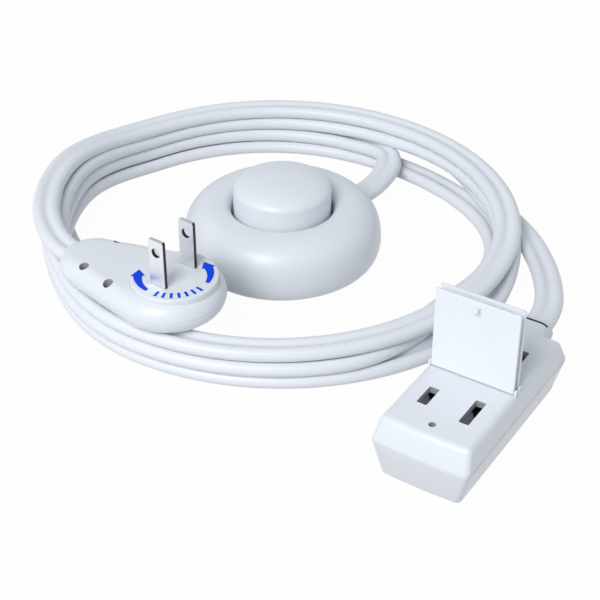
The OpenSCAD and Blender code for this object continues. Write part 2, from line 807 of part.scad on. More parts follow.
// Brass bar with a pair of spring leaves under each outlet slot
module contact_bar(y) {
    mouth = block_h - roof_t - 0.6;
    color(brass) at_block() translate([0, y, 0]) {
        translate([near_x - 5, -2.2, block_wall + slab_t]) cube([far_x - near_x + 10, 4.4, leaf_t]);
        for (x = [near_x, far_x], s = [-1, 1]) translate([x - leaf_l / 2, 0, 0]) rotate([90, 0, 90])
            linear_extrude(leaf_l) polygon([
                [s * (leaf_gap / 2 + 0.6), block_wall + slab_t + leaf_t / 2],
                [s * (leaf_gap / 2 + 0.2), mouth - 4],
                [s * leaf_gap / 2, mouth - 2], [s * (leaf_gap / 2 + 0.7), mouth],
                [s * (leaf_gap / 2 + 0.7 + leaf_t), mouth], [s * (leaf_gap / 2 + leaf_t), mouth - 2],
                [s * (leaf_gap / 2 + 0.2 + leaf_t), mouth - 4],
                [s * (leaf_gap / 2 + 0.6 + leaf_t), block_wall + slab_t + leaf_t / 2]
            ]);
    }
}

module contact_bar_line() {
    contact_bar(slot_pitch / 2);
}

module contact_bar_neutral() {
    contact_bar(-slot_pitch / 2);
}

// Frames of the two hinge pins, with +Z along the pin
module at_lid_pins() {
    for (s = [-1, 1]) translate([lid_mid_x + s * lid_pitch / 2, 0, lid_axis_z]) rotate([90, 0, 0]) children();
}

// Lid drawn upright over its pin, with its inner face towards -X
module lid() {
    difference() {
        union() {
            translate([-lid_t / 2, 0, 0]) rotate([90, 0, 90]) linear_extrude(lid_t) {
                translate([-lid_w / 2, 0]) square([lid_w, lid_h - lid_corner]);
                translate([lid_corner - lid_w / 2, lid_h - 2 * lid_corner])
                    square([lid_w - 2 * lid_corner, 2 * lid_corner]);
                for (s = [-1, 1]) translate([s * (lid_w / 2 - lid_corner), lid_h - lid_corner])
                    circle(r = lid_corner);
            }
            rotate([90, 0, 0]) cylinder(r = bead_r, h = lid_w, center = true);
            translate([-lid_t / 2 - peg_l, 0, peg_at]) rotate([0, 90, 0])
                cylinder(r = peg_r, h = peg_l + lid_t / 2);
        }
        rotate([90, 0, 0]) cylinder(r = pin_r + run, h = lid_w + 4, center = true);
    }
}

module lid_near() {
    color(white) at_block() translate([lid_mid_x - lid_pitch / 2, 0, lid_axis_z]) lid();
}

module lid_far() {
    color(white) at_block() translate([lid_mid_x + lid_pitch / 2, 0, lid_axis_z]) rotate(180) lid();
}

module lid_pins() {
    color(steel) at_block() at_lid_pins() cylinder(r = pin_r, h = 2 * (ear_y + ear_t), center = true);
}

module outlet_gland() {
    end = block_l + gland_l;
    color(white) at_block() translate([0, 0, gland_z]) rotate([90, 0, 90]) difference() {
        union() {
            // Flange inside the wall and the neck through it
            translate([0, 0, gland_seat - gland_flange_t]) linear_extrude(gland_flange_t)
                obround(gland_w, gland_t);
            translate([0, 0, gland_seat - 1]) linear_extrude(block_l + 2 - gland_seat)
                obround(gland_w - 1.6, gland_t - 1.4);
            hull() {
                translate([0, 0, block_l + 0.3]) linear_extrude(1) obround(gland_w, gland_t);
                translate([0, 0, end - 5]) linear_extrude(0.6) obround(gland_w - 1.4, gland_t - 1.2);
            }
            translate([0, 0, end - 5]) linear_extrude(2) obround(gland_w - 2.6, gland_t - 2.4);
            translate([0, 0, end - 4.4 + gland_groove]) linear_extrude(4.4 - gland_groove)
                obround(gland_w - 1, gland_t - 0.8);
        }
        translate([0, 0, block_l - 8]) linear_extrude(40) obround(cord_w + 2 * cord_fit, cord_t + 2 * cord_fit);
    }
}

// ---- Cord ----

coil_centre = [-1.5, 1, 0];
top_turn_centre = [-2.8, -3.1, 0];
top_turn_r = 72.3;

module cord_coil() {
    coil_h = 3 * cord_t;
    round_off = cord_t / 2;
    color(white) translate(coil_centre) rotate_extrude($fn = 96)
        translate([coil_inner_r + round_off, round_off]) offset(r = round_off, $fn = 16)
            square([coil_outer_r - coil_inner_r - 2 * round_off, coil_h - 2 * round_off]);
}

module cord_top_turn() {
    color(white) translate(top_turn_centre) rotate(-8) rotate_extrude(angle = 173, $fn = 96)
        translate([top_turn_r, 3.5 * cord_t]) polygon(flat_section(cord_w, cord_t));
}

module plug_lead() {
    cord_lead(plug_route);
}

module switch_lead_in() {
    cord_lead(switch_in_route);
}

module switch_lead_out() {
    cord_lead(switch_out_route);
}

module outlet_lead() {
    cord_lead(outlet_route);
}

switch_base();
switch_dome();
switch_pad();
switch_screws();
switch_button();
button_spring();
ratchet_wheel();
wheel_axle();
contact_moving();
contact_fixed();
cord_clamps();
clamp_screws();
plug_rear_shell();
plug_front_shell();
plug_disc();
blade_line();
blade_neutral();
slip_ring_inner();
slip_ring_outer();
plug_screws();
outlet_lower_shell();
outlet_upper_shell();
contact_bar_line();
contact_bar_neutral();
lid_near();
lid_far();
lid_pins();
outlet_screws();
outlet_gland();
cord_coil();
cord_top_turn();
plug_lead();
switch_lead_in();
switch_lead_out();
outlet_lead();
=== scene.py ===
# %% [markdown]
# An indoor extension cord: a flat plug with a swivelling disc, a foot switch with a
# round push button, and a small outlet block with two flip lids, all on one flat
# two-core cord that lies in a ring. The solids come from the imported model, which gives
# the places and the moving bodies. This lesson dresses them: it makes the two cords,
# the moulded shells, the small fittings and their finishes.

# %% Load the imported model
from math import atan2, cos, pi, radians, sin

import bmesh
import bpy
from mathutils import Matrix, Vector


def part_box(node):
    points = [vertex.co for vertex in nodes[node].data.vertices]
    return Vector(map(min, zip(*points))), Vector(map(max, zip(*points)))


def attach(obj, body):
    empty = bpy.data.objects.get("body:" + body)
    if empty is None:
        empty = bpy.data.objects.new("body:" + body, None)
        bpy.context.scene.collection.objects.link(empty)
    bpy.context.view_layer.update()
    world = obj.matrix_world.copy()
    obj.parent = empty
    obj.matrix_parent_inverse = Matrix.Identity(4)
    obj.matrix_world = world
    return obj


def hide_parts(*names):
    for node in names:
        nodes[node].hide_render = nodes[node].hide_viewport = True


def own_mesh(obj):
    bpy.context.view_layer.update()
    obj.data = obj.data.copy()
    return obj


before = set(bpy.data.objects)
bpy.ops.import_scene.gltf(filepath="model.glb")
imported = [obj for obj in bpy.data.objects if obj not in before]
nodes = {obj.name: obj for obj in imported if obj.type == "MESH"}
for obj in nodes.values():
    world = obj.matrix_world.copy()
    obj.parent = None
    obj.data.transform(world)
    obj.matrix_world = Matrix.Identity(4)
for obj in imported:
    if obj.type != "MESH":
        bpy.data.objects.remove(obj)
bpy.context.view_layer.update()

MM = 0.001

# %% [markdown]
# The camera comes first, because the cords are laid with one eye on the view. It looks
# along +Y and down at 35 degrees, from 44 cm away. The object is small and near, so a
# long lens keeps its shapes calm. The lens is worked out from the angle of view.

# %% Camera
CAMERA_AIM = Vector((5.5, -27.5, 0)) * MM
CAMERA_DISTANCE = 439.14 * MM
CAMERA_HEIGHT_ANGLE = radians(35.12)
VIEW_ANGLE = radians(23.31)

camera_data = bpy.data.cameras.new("camera")
camera_data.sensor_width = 36
camera_data.angle = VIEW_ANGLE
camera_data.clip_start = 0.01
camera_data.clip_end = 10
camera = bpy.data.objects.new("camera", camera_data)
bpy.context.scene.collection.objects.link(camera)
away = Vector((0, -cos(CAMERA_HEIGHT_ANGLE), sin(CAMERA_HEIGHT_ANGLE)))
camera.location = CAMERA_AIM + away * CAMERA_DISTANCE
camera.rotation_euler = (-away).to_track_quat("-Z", "Y").to_euler()
bpy.context.scene.camera = camera
print("lens", round(camera_data.lens, 1), "mm")

# %% [markdown]
# The cord is a flat two-core cord: two round lobes side by side, with a shallow groove
# between them. In Blender such a cord is a curve with a bevel object: the curve is the
# route, the bevel object is the cross-section. The twist method Z_UP keeps the flat
# sides level along the whole route. The curve becomes a mesh before it is placed.

# %% Section of the cord
CORD_W = 8.4 * MM
CORD_T = 4.2 * MM
LOBE_R = CORD_T / 2
LOBE_AT = CORD_W / 2 - LOBE_R
GROOVE_ANGLE = 129
WEB_HALF = 1.22 * MM


def cord_section(half_steps=9):
    """Closed outline of the two lobes and the groove on each flat side."""
    lobe = [radians(GROOVE_ANGLE * i / half_steps) for i in range(-half_steps, half_steps + 1)]
    right = [(LOBE_AT + LOBE_R * cos(a), LOBE_R * sin(a)) for a in lobe]
    left = [(-x, -z) for x, z in right]
    return right + [(0, WEB_HALF)] + left + [(0, -WEB_HALF)]


def link(name, data):
    """A new object with this data, in the scene."""
    obj = bpy.data.objects.new(name, data)
    bpy.context.scene.collection.objects.link(obj)
    return obj


def poly_curve(name, points, closed=False):
    """A curve of one straight-sided spline through the points."""
    curve = bpy.data.curves.new(name, "CURVE")
    curve.dimensions = "2D" if closed else "3D"
    spline = curve.splines.new("POLY")
    spline.points.add(len(points) - 1)
    for point, place in zip(spline.points, points):
        point.co = (*place, *([0] * (3 - len(place))), 1)
    spline.use_cyclic_u = closed
    return curve


def baked_mesh(obj, name):
    """The object's shape with its bevel and modifiers, as a new mesh; the object goes."""
    bpy.context.view_layer.update()
    shown = obj.evaluated_get(bpy.context.evaluated_depsgraph_get())
    mesh = bpy.data.meshes.new_from_object(shown)
    mesh.name = name
    bpy.data.objects.remove(obj)
    return mesh


def smooth_route(points, step=2.4 * MM):
    """Points on one smooth curve through the given ones, close enough to look round."""
    given = [Vector(p) for p in points]
    ends = [2 * given[0] - given[1], *given, 2 * given[-1] - given[-2]]
    route = []
    for before, start, end, after in zip(ends, ends[1:], ends[2:], ends[3:]):
        count = max(1, round((end - start).length / step))
        for i in range(count):
            t = i / count
            route.append(0.5 * (2 * start + (end - before) * t
                                + (2 * before - 5 * start + 4 * end - after) * t ** 2
                                + (3 * start - before - 3 * end + after) * t ** 3))
    return route + [given[-1]]


def route_length(route):
    """Length of a chain of points, end to end."""
    return sum((b - a).length for a, b in zip(route, route[1:]))


def cord_mesh(name, route):
    """Flat cord along a route, its flat sides kept level."""
    section = link("section", poly_curve("section", cord_section(), closed=True))
    curve = poly_curve(name, route)
    curve.twist_mode = "Z_UP"
    curve.bevel_mode = "OBJECT"
    curve.bevel_object = section
    curve.use_fill_caps = True
    mesh = baked_mesh(link(name, curve), name)
    bpy.data.objects.remove(section)
    return mesh


# %% [markdown]
# Four turns of cord lie on each other in a ring, in layers one cord high. A turn is not
# a perfect circle, so each stretch has its own centre, radius and height. The list of
# stations below says where a stretch starts and ends, clockwise from the plug, and a
# loop works out the points between. Where a turn steps down a layer it slips past the
# one below on the inside. Each value is averaged over a few degrees, so that one
# stretch flows into the next.

# %% Route from the plug, round the ring, to the foot switch
STATIONS = [  # angle in degrees, centre x and y, radius, height of the centreline, in mm
    (174, -2.8, -3.1, 72.3, 14.7), (125, -2.8, -4.5, 72.2, 14.7),
    (60, -2.8, -4.5, 72.2, 14.7), (5, -2.8, -3.1, 72.3, 14.7),
    (-20, -1.6, 5.6, 72.1, 10.5), (-165, -1.6, 5.6, 72.1, 10.5),
    (-195, -4.8, 0.1, 67.2, 10.5), (-285, -4.8, 0.1, 67.2, 10.5),
    (-318, -2.8, -3.6, 71.6, 10.5), (-361, -2.4, -1.6, 72.0, 10.5),
    (-378, -1.4, 4.6, 72.2, 6.4), (-390, 0.0, 6.4, 74.0, 4.8),
    (-402, 0.6, 7.3, 74.9, 2.1), (-525, 0.6, 7.3, 74.9, 2.1),
    (-555, -5.0, -0.2, 65.6, 2.1), (-672, -5.0, -0.2, 65.6, 2.1),
    (-700, -3.0, -1.6, 69.6, 2.1), (-722, -2.6, -0.5, 71.4, 2.1),
    (-742, -1.4, 4.4, 66.8, 2.1), (-754, -0.8, 5.8, 63.6, 2.1),
    (-764, -0.8, 5.8, 63.8, 4.6), (-770, -0.8, 5.8, 65.0, 6.3),
    (-782, -0.8, 5.8, 73.6, 6.3), (-885, -0.8, 5.8, 73.6, 6.3),
    (-915, -6.3, 1.8, 64.8, 6.3), (-1040, -6.3, 1.8, 64.8, 6.3),
]
COIL_START = 172
COIL_END = -1019
COIL_STEP = 6
# Where the loose end runs under the stack, beside the plug, the stack is one cord higher
LIFT = CORD_T / MM
LIFT_MID = 172
LIFT_FLAT = 12
LIFT_RAMP = 36
# Beside the plug the stack is also pressed in a little
PINCH = 2.4
PINCH_MID = 194
PINCH_FLAT = 8
PINCH_RAMP = 34


def station_values(angle):
    """Centre, radius and height at an angle, straight between the stations."""
    for first, second in zip(STATIONS, STATIONS[1:]):
        if first[0] >= angle >= second[0]:
            share = (first[0] - angle) / (first[0] - second[0])
            return [a + (b - a) * share for a, b in zip(first[1:], second[1:])]
    return list(STATIONS[0][1:] if angle > 0 else STATIONS[-1][1:])


def swell(angle, mid, flat, ramp):
    """One near an angle and nought away from it, with soft ramps."""
    away = abs((angle - mid + 180) % 360 - 180)
    share = min(1, max(0, (away - flat) / ramp))
    return 1 - share * share * (3 - 2 * share)


def coil_point(angle, spread=14, samples=9):
    """Point of the ring's centreline at an angle."""
    window = [station_values(angle + spread * (2 * i / (samples - 1) - 1))
              for i in range(samples)]
    x, y, radius, height = [sum(values) / samples for values in zip(*window)]
    radius -= PINCH * swell(angle, PINCH_MID, PINCH_FLAT, PINCH_RAMP)
    height += LIFT * swell(angle, LIFT_MID, LIFT_FLAT, LIFT_RAMP)
    return Vector((x + radius * cos(radians(angle)), y + radius * sin(radians(angle)), height))


PLUG_LEAD = [
    (-55.3, -33.2, 18.2), (-59.1, -30.8, 18.2), (-62.3, -28.2, 18.2), (-65.2, -24.6, 18.2),
    (-68.2, -19.4, 18.4), (-70.8, -12.5, 18.7), (-72.4, -5, 18.9),
]
SWITCH_LEAD_IN = [
    (33.4, 53.0, 6.4), (35.8, 46.8, 6.4), (34.9, 40.2, 6.2), (31.4, 32.6, 6),
    (27.2, 26.4, 6), (22.3, 21.5, 6), (14.4, 13.9, 6),
]
coil_points = (COIL_START - COIL_END) // COIL_STEP + 1
turns = [coil_point(COIL_START - COIL_STEP * i) for i in range(coil_points)]
plug_side_route = smooth_route([Vector(p) * MM for p in [*PLUG_LEAD, *turns, *SWITCH_LEAD_IN]])
print("cord from the plug to the switch:", round(route_length(plug_side_route), 3), "m")

# %% [markdown]
# The second cord leaves the switch, passes under the plug and the stack, and follows
# the stack round the back on the floor. At the right it climbs a layer, comes out of
# the stack and rises into the block. Its way round the back is one arc; the rest is
# given point by point, in mm.

# %% Route from the foot switch to the outlet block
SWITCH_LEAD_OUT = [
    (-14.4, -13.9, 6), (-22.3, -21.5, 6), (-27, -25.8, 5), (-32.5, -29.3, 3.4),
    (-39, -31.2, 2.3), (-45.4, -30.2, 2.1), (-51.2, -26.8, 2.1), (-56.2, -21.8, 2.1),
    (-60.4, -15.4, 2.1), (-64.4, -8, 2.1), (-68, 0.2, 2.1), (-71.2, 8.6, 2.1), (-73.6, 17, 2.1),
]
BACK_RUN = (-5, -0.2, 74.3, 2.1)  # centre x and y, radius, height
BACK_RUN_ANGLES = range(157, 92, -7)
OUTLET_LEAD = [
    (0, 74.8, 2.1), (9.5, 75, 2.1), (19, 73.6, 2.5), (28.5, 70.5, 3.8), (37.5, 66, 5.6),
    (45.8, 60.4, 6.3), (52.2, 53.8, 6.3), (57.0, 46.4, 6.3), (60.7, 38.6, 6.3),
    (63.8, 30.4, 6.3), (66.4, 22, 6.3), (69.4, 14, 6.3), (73.5, 5.5, 6.2),
    (76.9, -4, 6.2), (78.5, -14.5, 7.0), (79.1, -25, 8.0), (78.5, -36.5, 9.2),
    (76.9, -45, 9.6), (73.9, -51.9, 9.6), (69.2, -59.3, 9.6), (64.9, -66, 9.6),
]
back_x, back_y, back_r, back_z = BACK_RUN
back_run = [(back_x + back_r * cos(radians(a)), back_y + back_r * sin(radians(a)), back_z)
            for a in BACK_RUN_ANGLES]
outlet_side_points = [*SWITCH_LEAD_OUT, *back_run, *OUTLET_LEAD]
outlet_side_route = smooth_route([Vector(p) * MM for p in outlet_side_points])
print("cord from the switch to the block:", round(route_length(outlet_side_route), 3), "m")

# %% [markdown]
# The stage is a plain pale floor. To the light it is a matt grey, so that it doesn't
# throw too much light up at the object. To the camera it also glows, so that it looks
# white to the edges. Metal and glass see the same floor as the camera does. The Light
# Path node tells the kinds of ray apart, and Math nodes add them up.

# %% Floor
FLOOR_SIZE = 3
FLOOR_DROP = 0.2 * MM
FLOOR_GREY = (0.64, 0.64, 0.64, 1)
FLOOR_GLOW = 0.97
WHITE = (1, 1, 1, 1)


def maths(tree, operation, first, second, clamp=False):
    """Math node; each input is a number or a socket."""
    node = tree.nodes.new("ShaderNodeMath")
    node.operation = operation
    node.use_clamp = clamp
    for socket, value in zip(node.inputs, (first, second)):
        if isinstance(value, (int, float)):
            socket.default_value = value
        else:
            tree.links.new(value, socket)
    return node.outputs[0]


def floor_material():
    """Matt grey under the lamp, mixed with a white glow for camera and mirror rays."""
    material = bpy.data.materials.new("studio_floor")
    material.use_nodes = True
    tree = material.node_tree
    tree.nodes.clear()
    matt = tree.nodes.new("ShaderNodeBsdfDiffuse")
    matt.inputs["Color"].default_value = FLOOR_GREY
    glow = tree.nodes.new("ShaderNodeEmission")
    glow.inputs["Color"].default_value = WHITE
    rays = tree.nodes.new("ShaderNodeLightPath").outputs
    mirrored = maths(tree, "ADD", rays["Is Glossy Ray"], rays["Is Transmission Ray"], clamp=True)
    seen = maths(tree, "ADD", rays["Is Camera Ray"], mirrored, clamp=True)
    mix = tree.nodes.new("ShaderNodeMixShader")
    output = tree.nodes.new("ShaderNodeOutputMaterial")
    tree.links.new(maths(tree, "MULTIPLY", seen, FLOOR_GLOW), mix.inputs[0])
    tree.links.new(matt.outputs[0], mix.inputs[1])
    tree.links.new(glow.outputs[0], mix.inputs[2])
    tree.links.new(mix.outputs[0], output.inputs[0])
    return material


floor_bm = bmesh.new()
bmesh.ops.create_grid(floor_bm, x_segments=1, y_segments=1, size=FLOOR_SIZE / 2)
floor_mesh = bpy.data.meshes.new("floor")
floor_bm.to_mesh(floor_mesh)
floor_bm.free()
floor_mesh.materials.append(floor_material())
floor = link("floor", floor_mesh)
floor.location.z = -FLOOR_DROP
print("floor:", FLOOR_SIZE, "m square")

# %% [markdown]
# One large square lamp stands in front, to the left and high. A wide lamp gives soft
# shadow edges. The sky fills in the rest: it is brighter at the horizon than overhead,
# so upright sides are lit about as well as tops, and the turned shapes read round. The
# direction of the sky is in Generated coordinates; its height picks a tone in a ramp.

# %% Lamp and sky
KEY_PLACE = Vector((-0.52, -0.84, 0.98))
KEY_SIZE = 0.7
KEY_POWER = 12.2
KEY_COLOUR = (1.0, 0.99, 1.0)
SKY_STRENGTH = 1.0
SKY_HORIZON = (0.64, 0.67, 0.72, 1)
SKY_OVERHEAD = (0.37, 0.39, 0.42, 1)

key_data = bpy.data.lights.new("key_lamp", "AREA")
key_data.shape = "SQUARE"
key_data.size = KEY_SIZE
key_data.energy = KEY_POWER
key_data.color = KEY_COLOUR
key_lamp = link("key_lamp", key_data)
key_lamp.location = KEY_PLACE
key_lamp.rotation_euler = (-KEY_PLACE).to_track_quat("-Z", "Y").to_euler()

world = bpy.data.worlds.new("studio")
bpy.context.scene.world = world
world.use_nodes = True
sky_tree = world.node_tree
sky = sky_tree.nodes["Background"]
sky.inputs["Strength"].default_value = SKY_STRENGTH
sky_place = sky_tree.nodes.new("ShaderNodeTexCoord")
sky_height = sky_tree.nodes.new("ShaderNodeSeparateXYZ")
sky_ramp = sky_tree.nodes.new("ShaderNodeValToRGB")
for end, colour in zip(sky_ramp.color_ramp.elements, (SKY_HORIZON, SKY_OVERHEAD)):
    end.color = colour
sky_tree.links.new(sky_place.outputs["Generated"], sky_height.inputs[0])
sky_tree.links.new(sky_height.outputs["Z"], sky_ramp.inputs[0])
sky_tree.links.new(sky_ramp.outputs[0], sky.inputs["Color"])
bpy.context.scene.view_settings.view_transform = "Standard"
print("lamp", KEY_POWER, "W, sky strength", SKY_STRENGTH)

# %% [markdown]
# Finishes are built from a few shader node groups, made once and placed in each
# material with its own values. A group here puts out masks and heights only. The first
# one is fine grain: two sizes of noise, for the skin of moulded plastic and of the
# soft cord. It reads Object coordinates, so it stays on the piece in every view.

# %% Node group: fine grain
def new_group(name, inputs, outputs):
    """Empty node group with float sockets; inputs are (name, value) pairs."""
    group = bpy.data.node_groups.new(name, "ShaderNodeTree")
    kind = "NodeSocketFloat"
    for socket, value in inputs:
        made = group.interface.new_socket(name=socket, in_out="INPUT", socket_type=kind)
        made.default_value = value
    for socket in outputs:
        group.interface.new_socket(name=socket, in_out="OUTPUT", socket_type=kind)
    return group, group.nodes.new("NodeGroupInput"), group.nodes.new("NodeGroupOutput")


def noise(tree, coordinates, scale, detail=2.0, roughness=0.5):
    """Noise texture on these coordinates; the scale is a number or a socket."""
    node = tree.nodes.new("ShaderNodeTexNoise")
    node.inputs["Detail"].default_value = detail
    node.inputs["Roughness"].default_value = roughness
    tree.links.new(coordinates, node.inputs["Vector"])
    if isinstance(scale, (int, float)):
        node.inputs["Scale"].default_value = scale
    else:
        tree.links.new(scale, node.inputs["Scale"])
    return node.outputs[0]


def between(tree, value, low, high, out_low=0.0, out_high=1.0):
    """Map Range node from low..high to out_low..out_high, clamped."""
    node = tree.nodes.new("ShaderNodeMapRange")
    node.inputs["From Min"].default_value = low
    node.inputs["From Max"].default_value = high
    node.inputs["To Min"].default_value = out_low
    node.inputs["To Max"].default_value = out_high
    tree.links.new(value, node.inputs["Value"])
    return node.outputs[0]


grain_group, grain_in, grain_out = new_group(
    "fine_grain", [("Fine scale", 2500.0), ("Broad scale", 160.0), ("Broad share", 0.35)],
    ["Height", "Mottle"])
grain_place = grain_group.nodes.new("ShaderNodeTexCoord").outputs["Object"]
fine = noise(grain_group, grain_place, grain_in.outputs["Fine scale"], detail=3.0, roughness=0.6)
broad = noise(grain_group, grain_place, grain_in.outputs["Broad scale"])
fine_share = maths(grain_group, "SUBTRACT", 1.0, grain_in.outputs["Broad share"])
fine_part = maths(grain_group, "MULTIPLY", fine, fine_share)
broad_part = maths(grain_group, "MULTIPLY", broad, grain_in.outputs["Broad share"])
grain_height = maths(grain_group, "ADD", fine_part, broad_part)
grain_group.links.new(grain_height, grain_out.inputs["Height"])
grain_group.links.new(broad, grain_out.inputs["Mottle"])
print("node group made:", grain_group.name)

# %% [markdown]
# Edge wear: on a real moulding the edges are rubbed smooth and pick up a little grey.
# The Bevel node gives the normal of a rounded edge. Where it differs from the true
# normal there is an edge, and noise breaks the line up, so that no edge is worn evenly.

# %% Node group: edge wear
WEAR_REACH = 0.4 * MM
EDGE_FROM, EDGE_FULL = 0.995, 0.85  # how alike the two normals are

wear_group, wear_in, wear_out = new_group(
    "edge_wear", [("Softness", 0.35), ("Breakup scale", 420.0)], ["Edge", "Rubbed"])
bevel_node = wear_group.nodes.new("ShaderNodeBevel")
bevel_node.samples = 4
bevel_node.inputs["Radius"].default_value = WEAR_REACH
true_normal = wear_group.nodes.new("ShaderNodeNewGeometry")
facing = wear_group.nodes.new("ShaderNodeVectorMath")
facing.operation = "DOT_PRODUCT"
wear_group.links.new(bevel_node.outputs[0], facing.inputs[0])
wear_group.links.new(true_normal.outputs["Normal"], facing.inputs[1])
edge = between(wear_group, facing.outputs["Value"], EDGE_FROM, EDGE_FULL)
wear_place = wear_group.nodes.new("ShaderNodeTexCoord").outputs["Object"]
breakup = noise(wear_group, wear_place, wear_in.outputs["Breakup scale"], detail=4.0,
                roughness=0.65)
unbroken = maths(wear_group, "GREATER_THAN", breakup, wear_in.outputs["Softness"])
rubbed = maths(wear_group, "MULTIPLY", edge, unbroken)
wear_group.links.new(edge, wear_out.inputs["Edge"])
wear_group.links.new(maths(wear_group, "MULTIPLY", rubbed, breakup), wear_out.inputs["Rubbed"])
print("node group made:", wear_group.name)

# %% [markdown]
# Dust settles on faces that look up. This group gives a faint patchy mask from how far
# the true normal points up and from some noise. It only tints and roughens a little.

# %% Node group: settled dust
DUST_SLOPE = (0.2, 1.0)  # from the first dust to the full, by how far a face looks up
DUST_PATCHES = (0.45, 0.75)

dust_group, dust_in, dust_out = new_group("settled_dust", [("Scale", 90.0)], ["Dust"])
dust_normal = dust_group.nodes.new("ShaderNodeNewGeometry")
upward = dust_group.nodes.new("ShaderNodeSeparateXYZ")
dust_group.links.new(dust_normal.outputs["Normal"], upward.inputs[0])
dust_place = dust_group.nodes.new("ShaderNodeTexCoord").outputs["Object"]
patches = noise(dust_group, dust_place, dust_in.outputs["Scale"], detail=5.0, roughness=0.7)
looks_up = between(dust_group, upward.outputs["Z"], *DUST_SLOPE)
patchy = between(dust_group, patches, *DUST_PATCHES)
dust_mask = maths(dust_group, "MULTIPLY", looks_up, patchy)
dust_group.links.new(dust_mask, dust_out.inputs["Dust"])
print("node group made:", dust_group.name)

# %% [markdown]
# Every finish is one Principled shader. The groups feed its colour, roughness and bump;
# the numbers that are the same all over are set on the shader's own sockets. One
# builder makes all of them, so that each finish is a short list of its own values.

# %% Builder for the finishes
COAT_ROUGH = 0.12
MOTTLE_TONE = 0.9  # the mottle's colour, as a share of the finish's own
MOTTLE_GAIN = 4
DUST_COLOUR = (0.62, 0.61, 0.58, 1)
DUST_ROUGH = 0.12
ROUGH_VARIES = 0.15
GRAIN_RANGE = (0.3, 0.7)
WORN_SMOOTHER = 0.25
RELIEF = 0.35


def shade(tree, base, target, share):
    """Mix of two colours by a mask; base may be a socket."""
    mix = tree.nodes.new("ShaderNodeMix")
    mix.data_type = "RGBA"
    if isinstance(base, tuple):
        mix.inputs["A"].default_value = base
    else:
        tree.links.new(base, mix.inputs["A"])
    mix.inputs["B"].default_value = target
    tree.links.new(share, mix.inputs["Factor"])
    return mix.outputs["Result"]


def group_node(tree, group, **values):
    """Node that places a group, with values for its inputs by name."""
    node = tree.nodes.new("ShaderNodeGroup")
    node.node_tree = group
    for name, value in values.items():
        node.inputs[name.replace("_", " ")].default_value = value
    return node


def finish(name, colour, rough, *, metal=0.0, coat=0.0, grain=(2500.0, 160.0), bump=0.02,
           mottle=0.03, wear_colour=None, wear=0.25, dust=0.06, specular=0.5):
    """Finish with mottle, rubbed edges and dust in its colour, and grain in gloss and bump."""
    material = bpy.data.materials.new(name)
    material.use_nodes = True
    tree = material.node_tree
    shader = tree.nodes["Principled BSDF"]
    shader.inputs["Metallic"].default_value = metal
    shader.inputs["Coat Weight"].default_value = coat
    shader.inputs["Coat Roughness"].default_value = COAT_ROUGH
    shader.inputs["Specular IOR Level"].default_value = specular
    grains = group_node(tree, grain_group, Fine_scale=grain[0], Broad_scale=grain[1]).outputs
    edges = group_node(tree, wear_group).outputs
    dusty = group_node(tree, dust_group).outputs

    darker = tuple(c * MOTTLE_TONE for c in colour)
    mottled = maths(tree, "MULTIPLY", grains["Mottle"], mottle * MOTTLE_GAIN)
    rubbed_off = maths(tree, "MULTIPLY", edges["Rubbed"], wear)
    dusted = maths(tree, "MULTIPLY", dusty["Dust"], dust)
    base = shade(tree, (*colour, 1), (*darker, 1), mottled)
    base = shade(tree, base, (*(wear_colour or darker), 1), rubbed_off)
    base = shade(tree, base, DUST_COLOUR, dusted)
    tree.links.new(base, shader.inputs["Base Color"])

    smoothest, roughest = rough * (1 - ROUGH_VARIES), rough * (1 + ROUGH_VARIES)
    grainy = between(tree, grains["Height"], *GRAIN_RANGE, smoothest, roughest)
    worn = maths(tree, "MULTIPLY", edges["Edge"], rough * WORN_SMOOTHER)
    dulled = maths(tree, "MULTIPLY", dusty["Dust"], DUST_ROUGH)
    gloss = maths(tree, "ADD", maths(tree, "SUBTRACT", grainy, worn), dulled, clamp=True)
    tree.links.new(gloss, shader.inputs["Roughness"])

    relief = tree.nodes.new("ShaderNodeBump")
    relief.inputs["Strength"].default_value = RELIEF
    relief.inputs["Distance"].default_value = bump * MM
    tree.links.new(grains["Height"], relief.inputs["Height"])
    tree.links.new(relief.outputs[0], shader.inputs["Normal"])
    return material


print("groups in each finish:", len(bpy.data.node_groups))

# %% [markdown]
# The object is white with a cool tone. The shells are glossy hard plastic, the cord's
# jacket is softer and more matt, the lids a little brighter and smoother, and the lower
# shell of the block is painted a shade darker, as painted shade on its down-leaning sides.
# The blades are nickel-plated, the springs and screws bare steel, the contacts brass or
# tinned, and the ratchet wheel natural nylon. A mid grey and a near-black are painted
# shade on the walls of slots, holes and rooms; a second near-black paints a dark
# reflection on the blades' narrow sides and shade in their holes and the screws' cross
# recesses. The grain's two numbers are its fine and its broad scale; bump is in mm.

# %% Finishes
shell_white = finish("shell_white", (0.775, 0.81, 0.845), 0.36, coat=0.12,
                     grain=(2600.0, 140.0), bump=0.012)
# Same white plastic as the shells, painted darker: painted shade on the block's lower shell, which
# leans away from the light.
base_white_painted_shade = finish("base_white_painted_shade", (0.70, 0.73, 0.765), 0.34, coat=0.2,
                    grain=(2600.0, 140.0), bump=0.012)
lid_white = finish("lid_white", (0.81, 0.845, 0.88), 0.28, coat=0.3,
                   grain=(3000.0, 120.0), bump=0.003, mottle=0.008, dust=0.015)
button_white = finish("button_white", (0.785, 0.82, 0.855), 0.36, coat=0.15,
                      grain=(1800.0, 120.0))
jacket_white = finish("jacket_white", (0.79, 0.82, 0.855), 0.42, coat=0.1,
                      grain=(1500.0, 200.0), bump=0.03, mottle=0.05, wear=0.15)
gland_white = finish("gland_white", (0.755, 0.79, 0.82), 0.46,
                     grain=(1700.0, 180.0), bump=0.03)
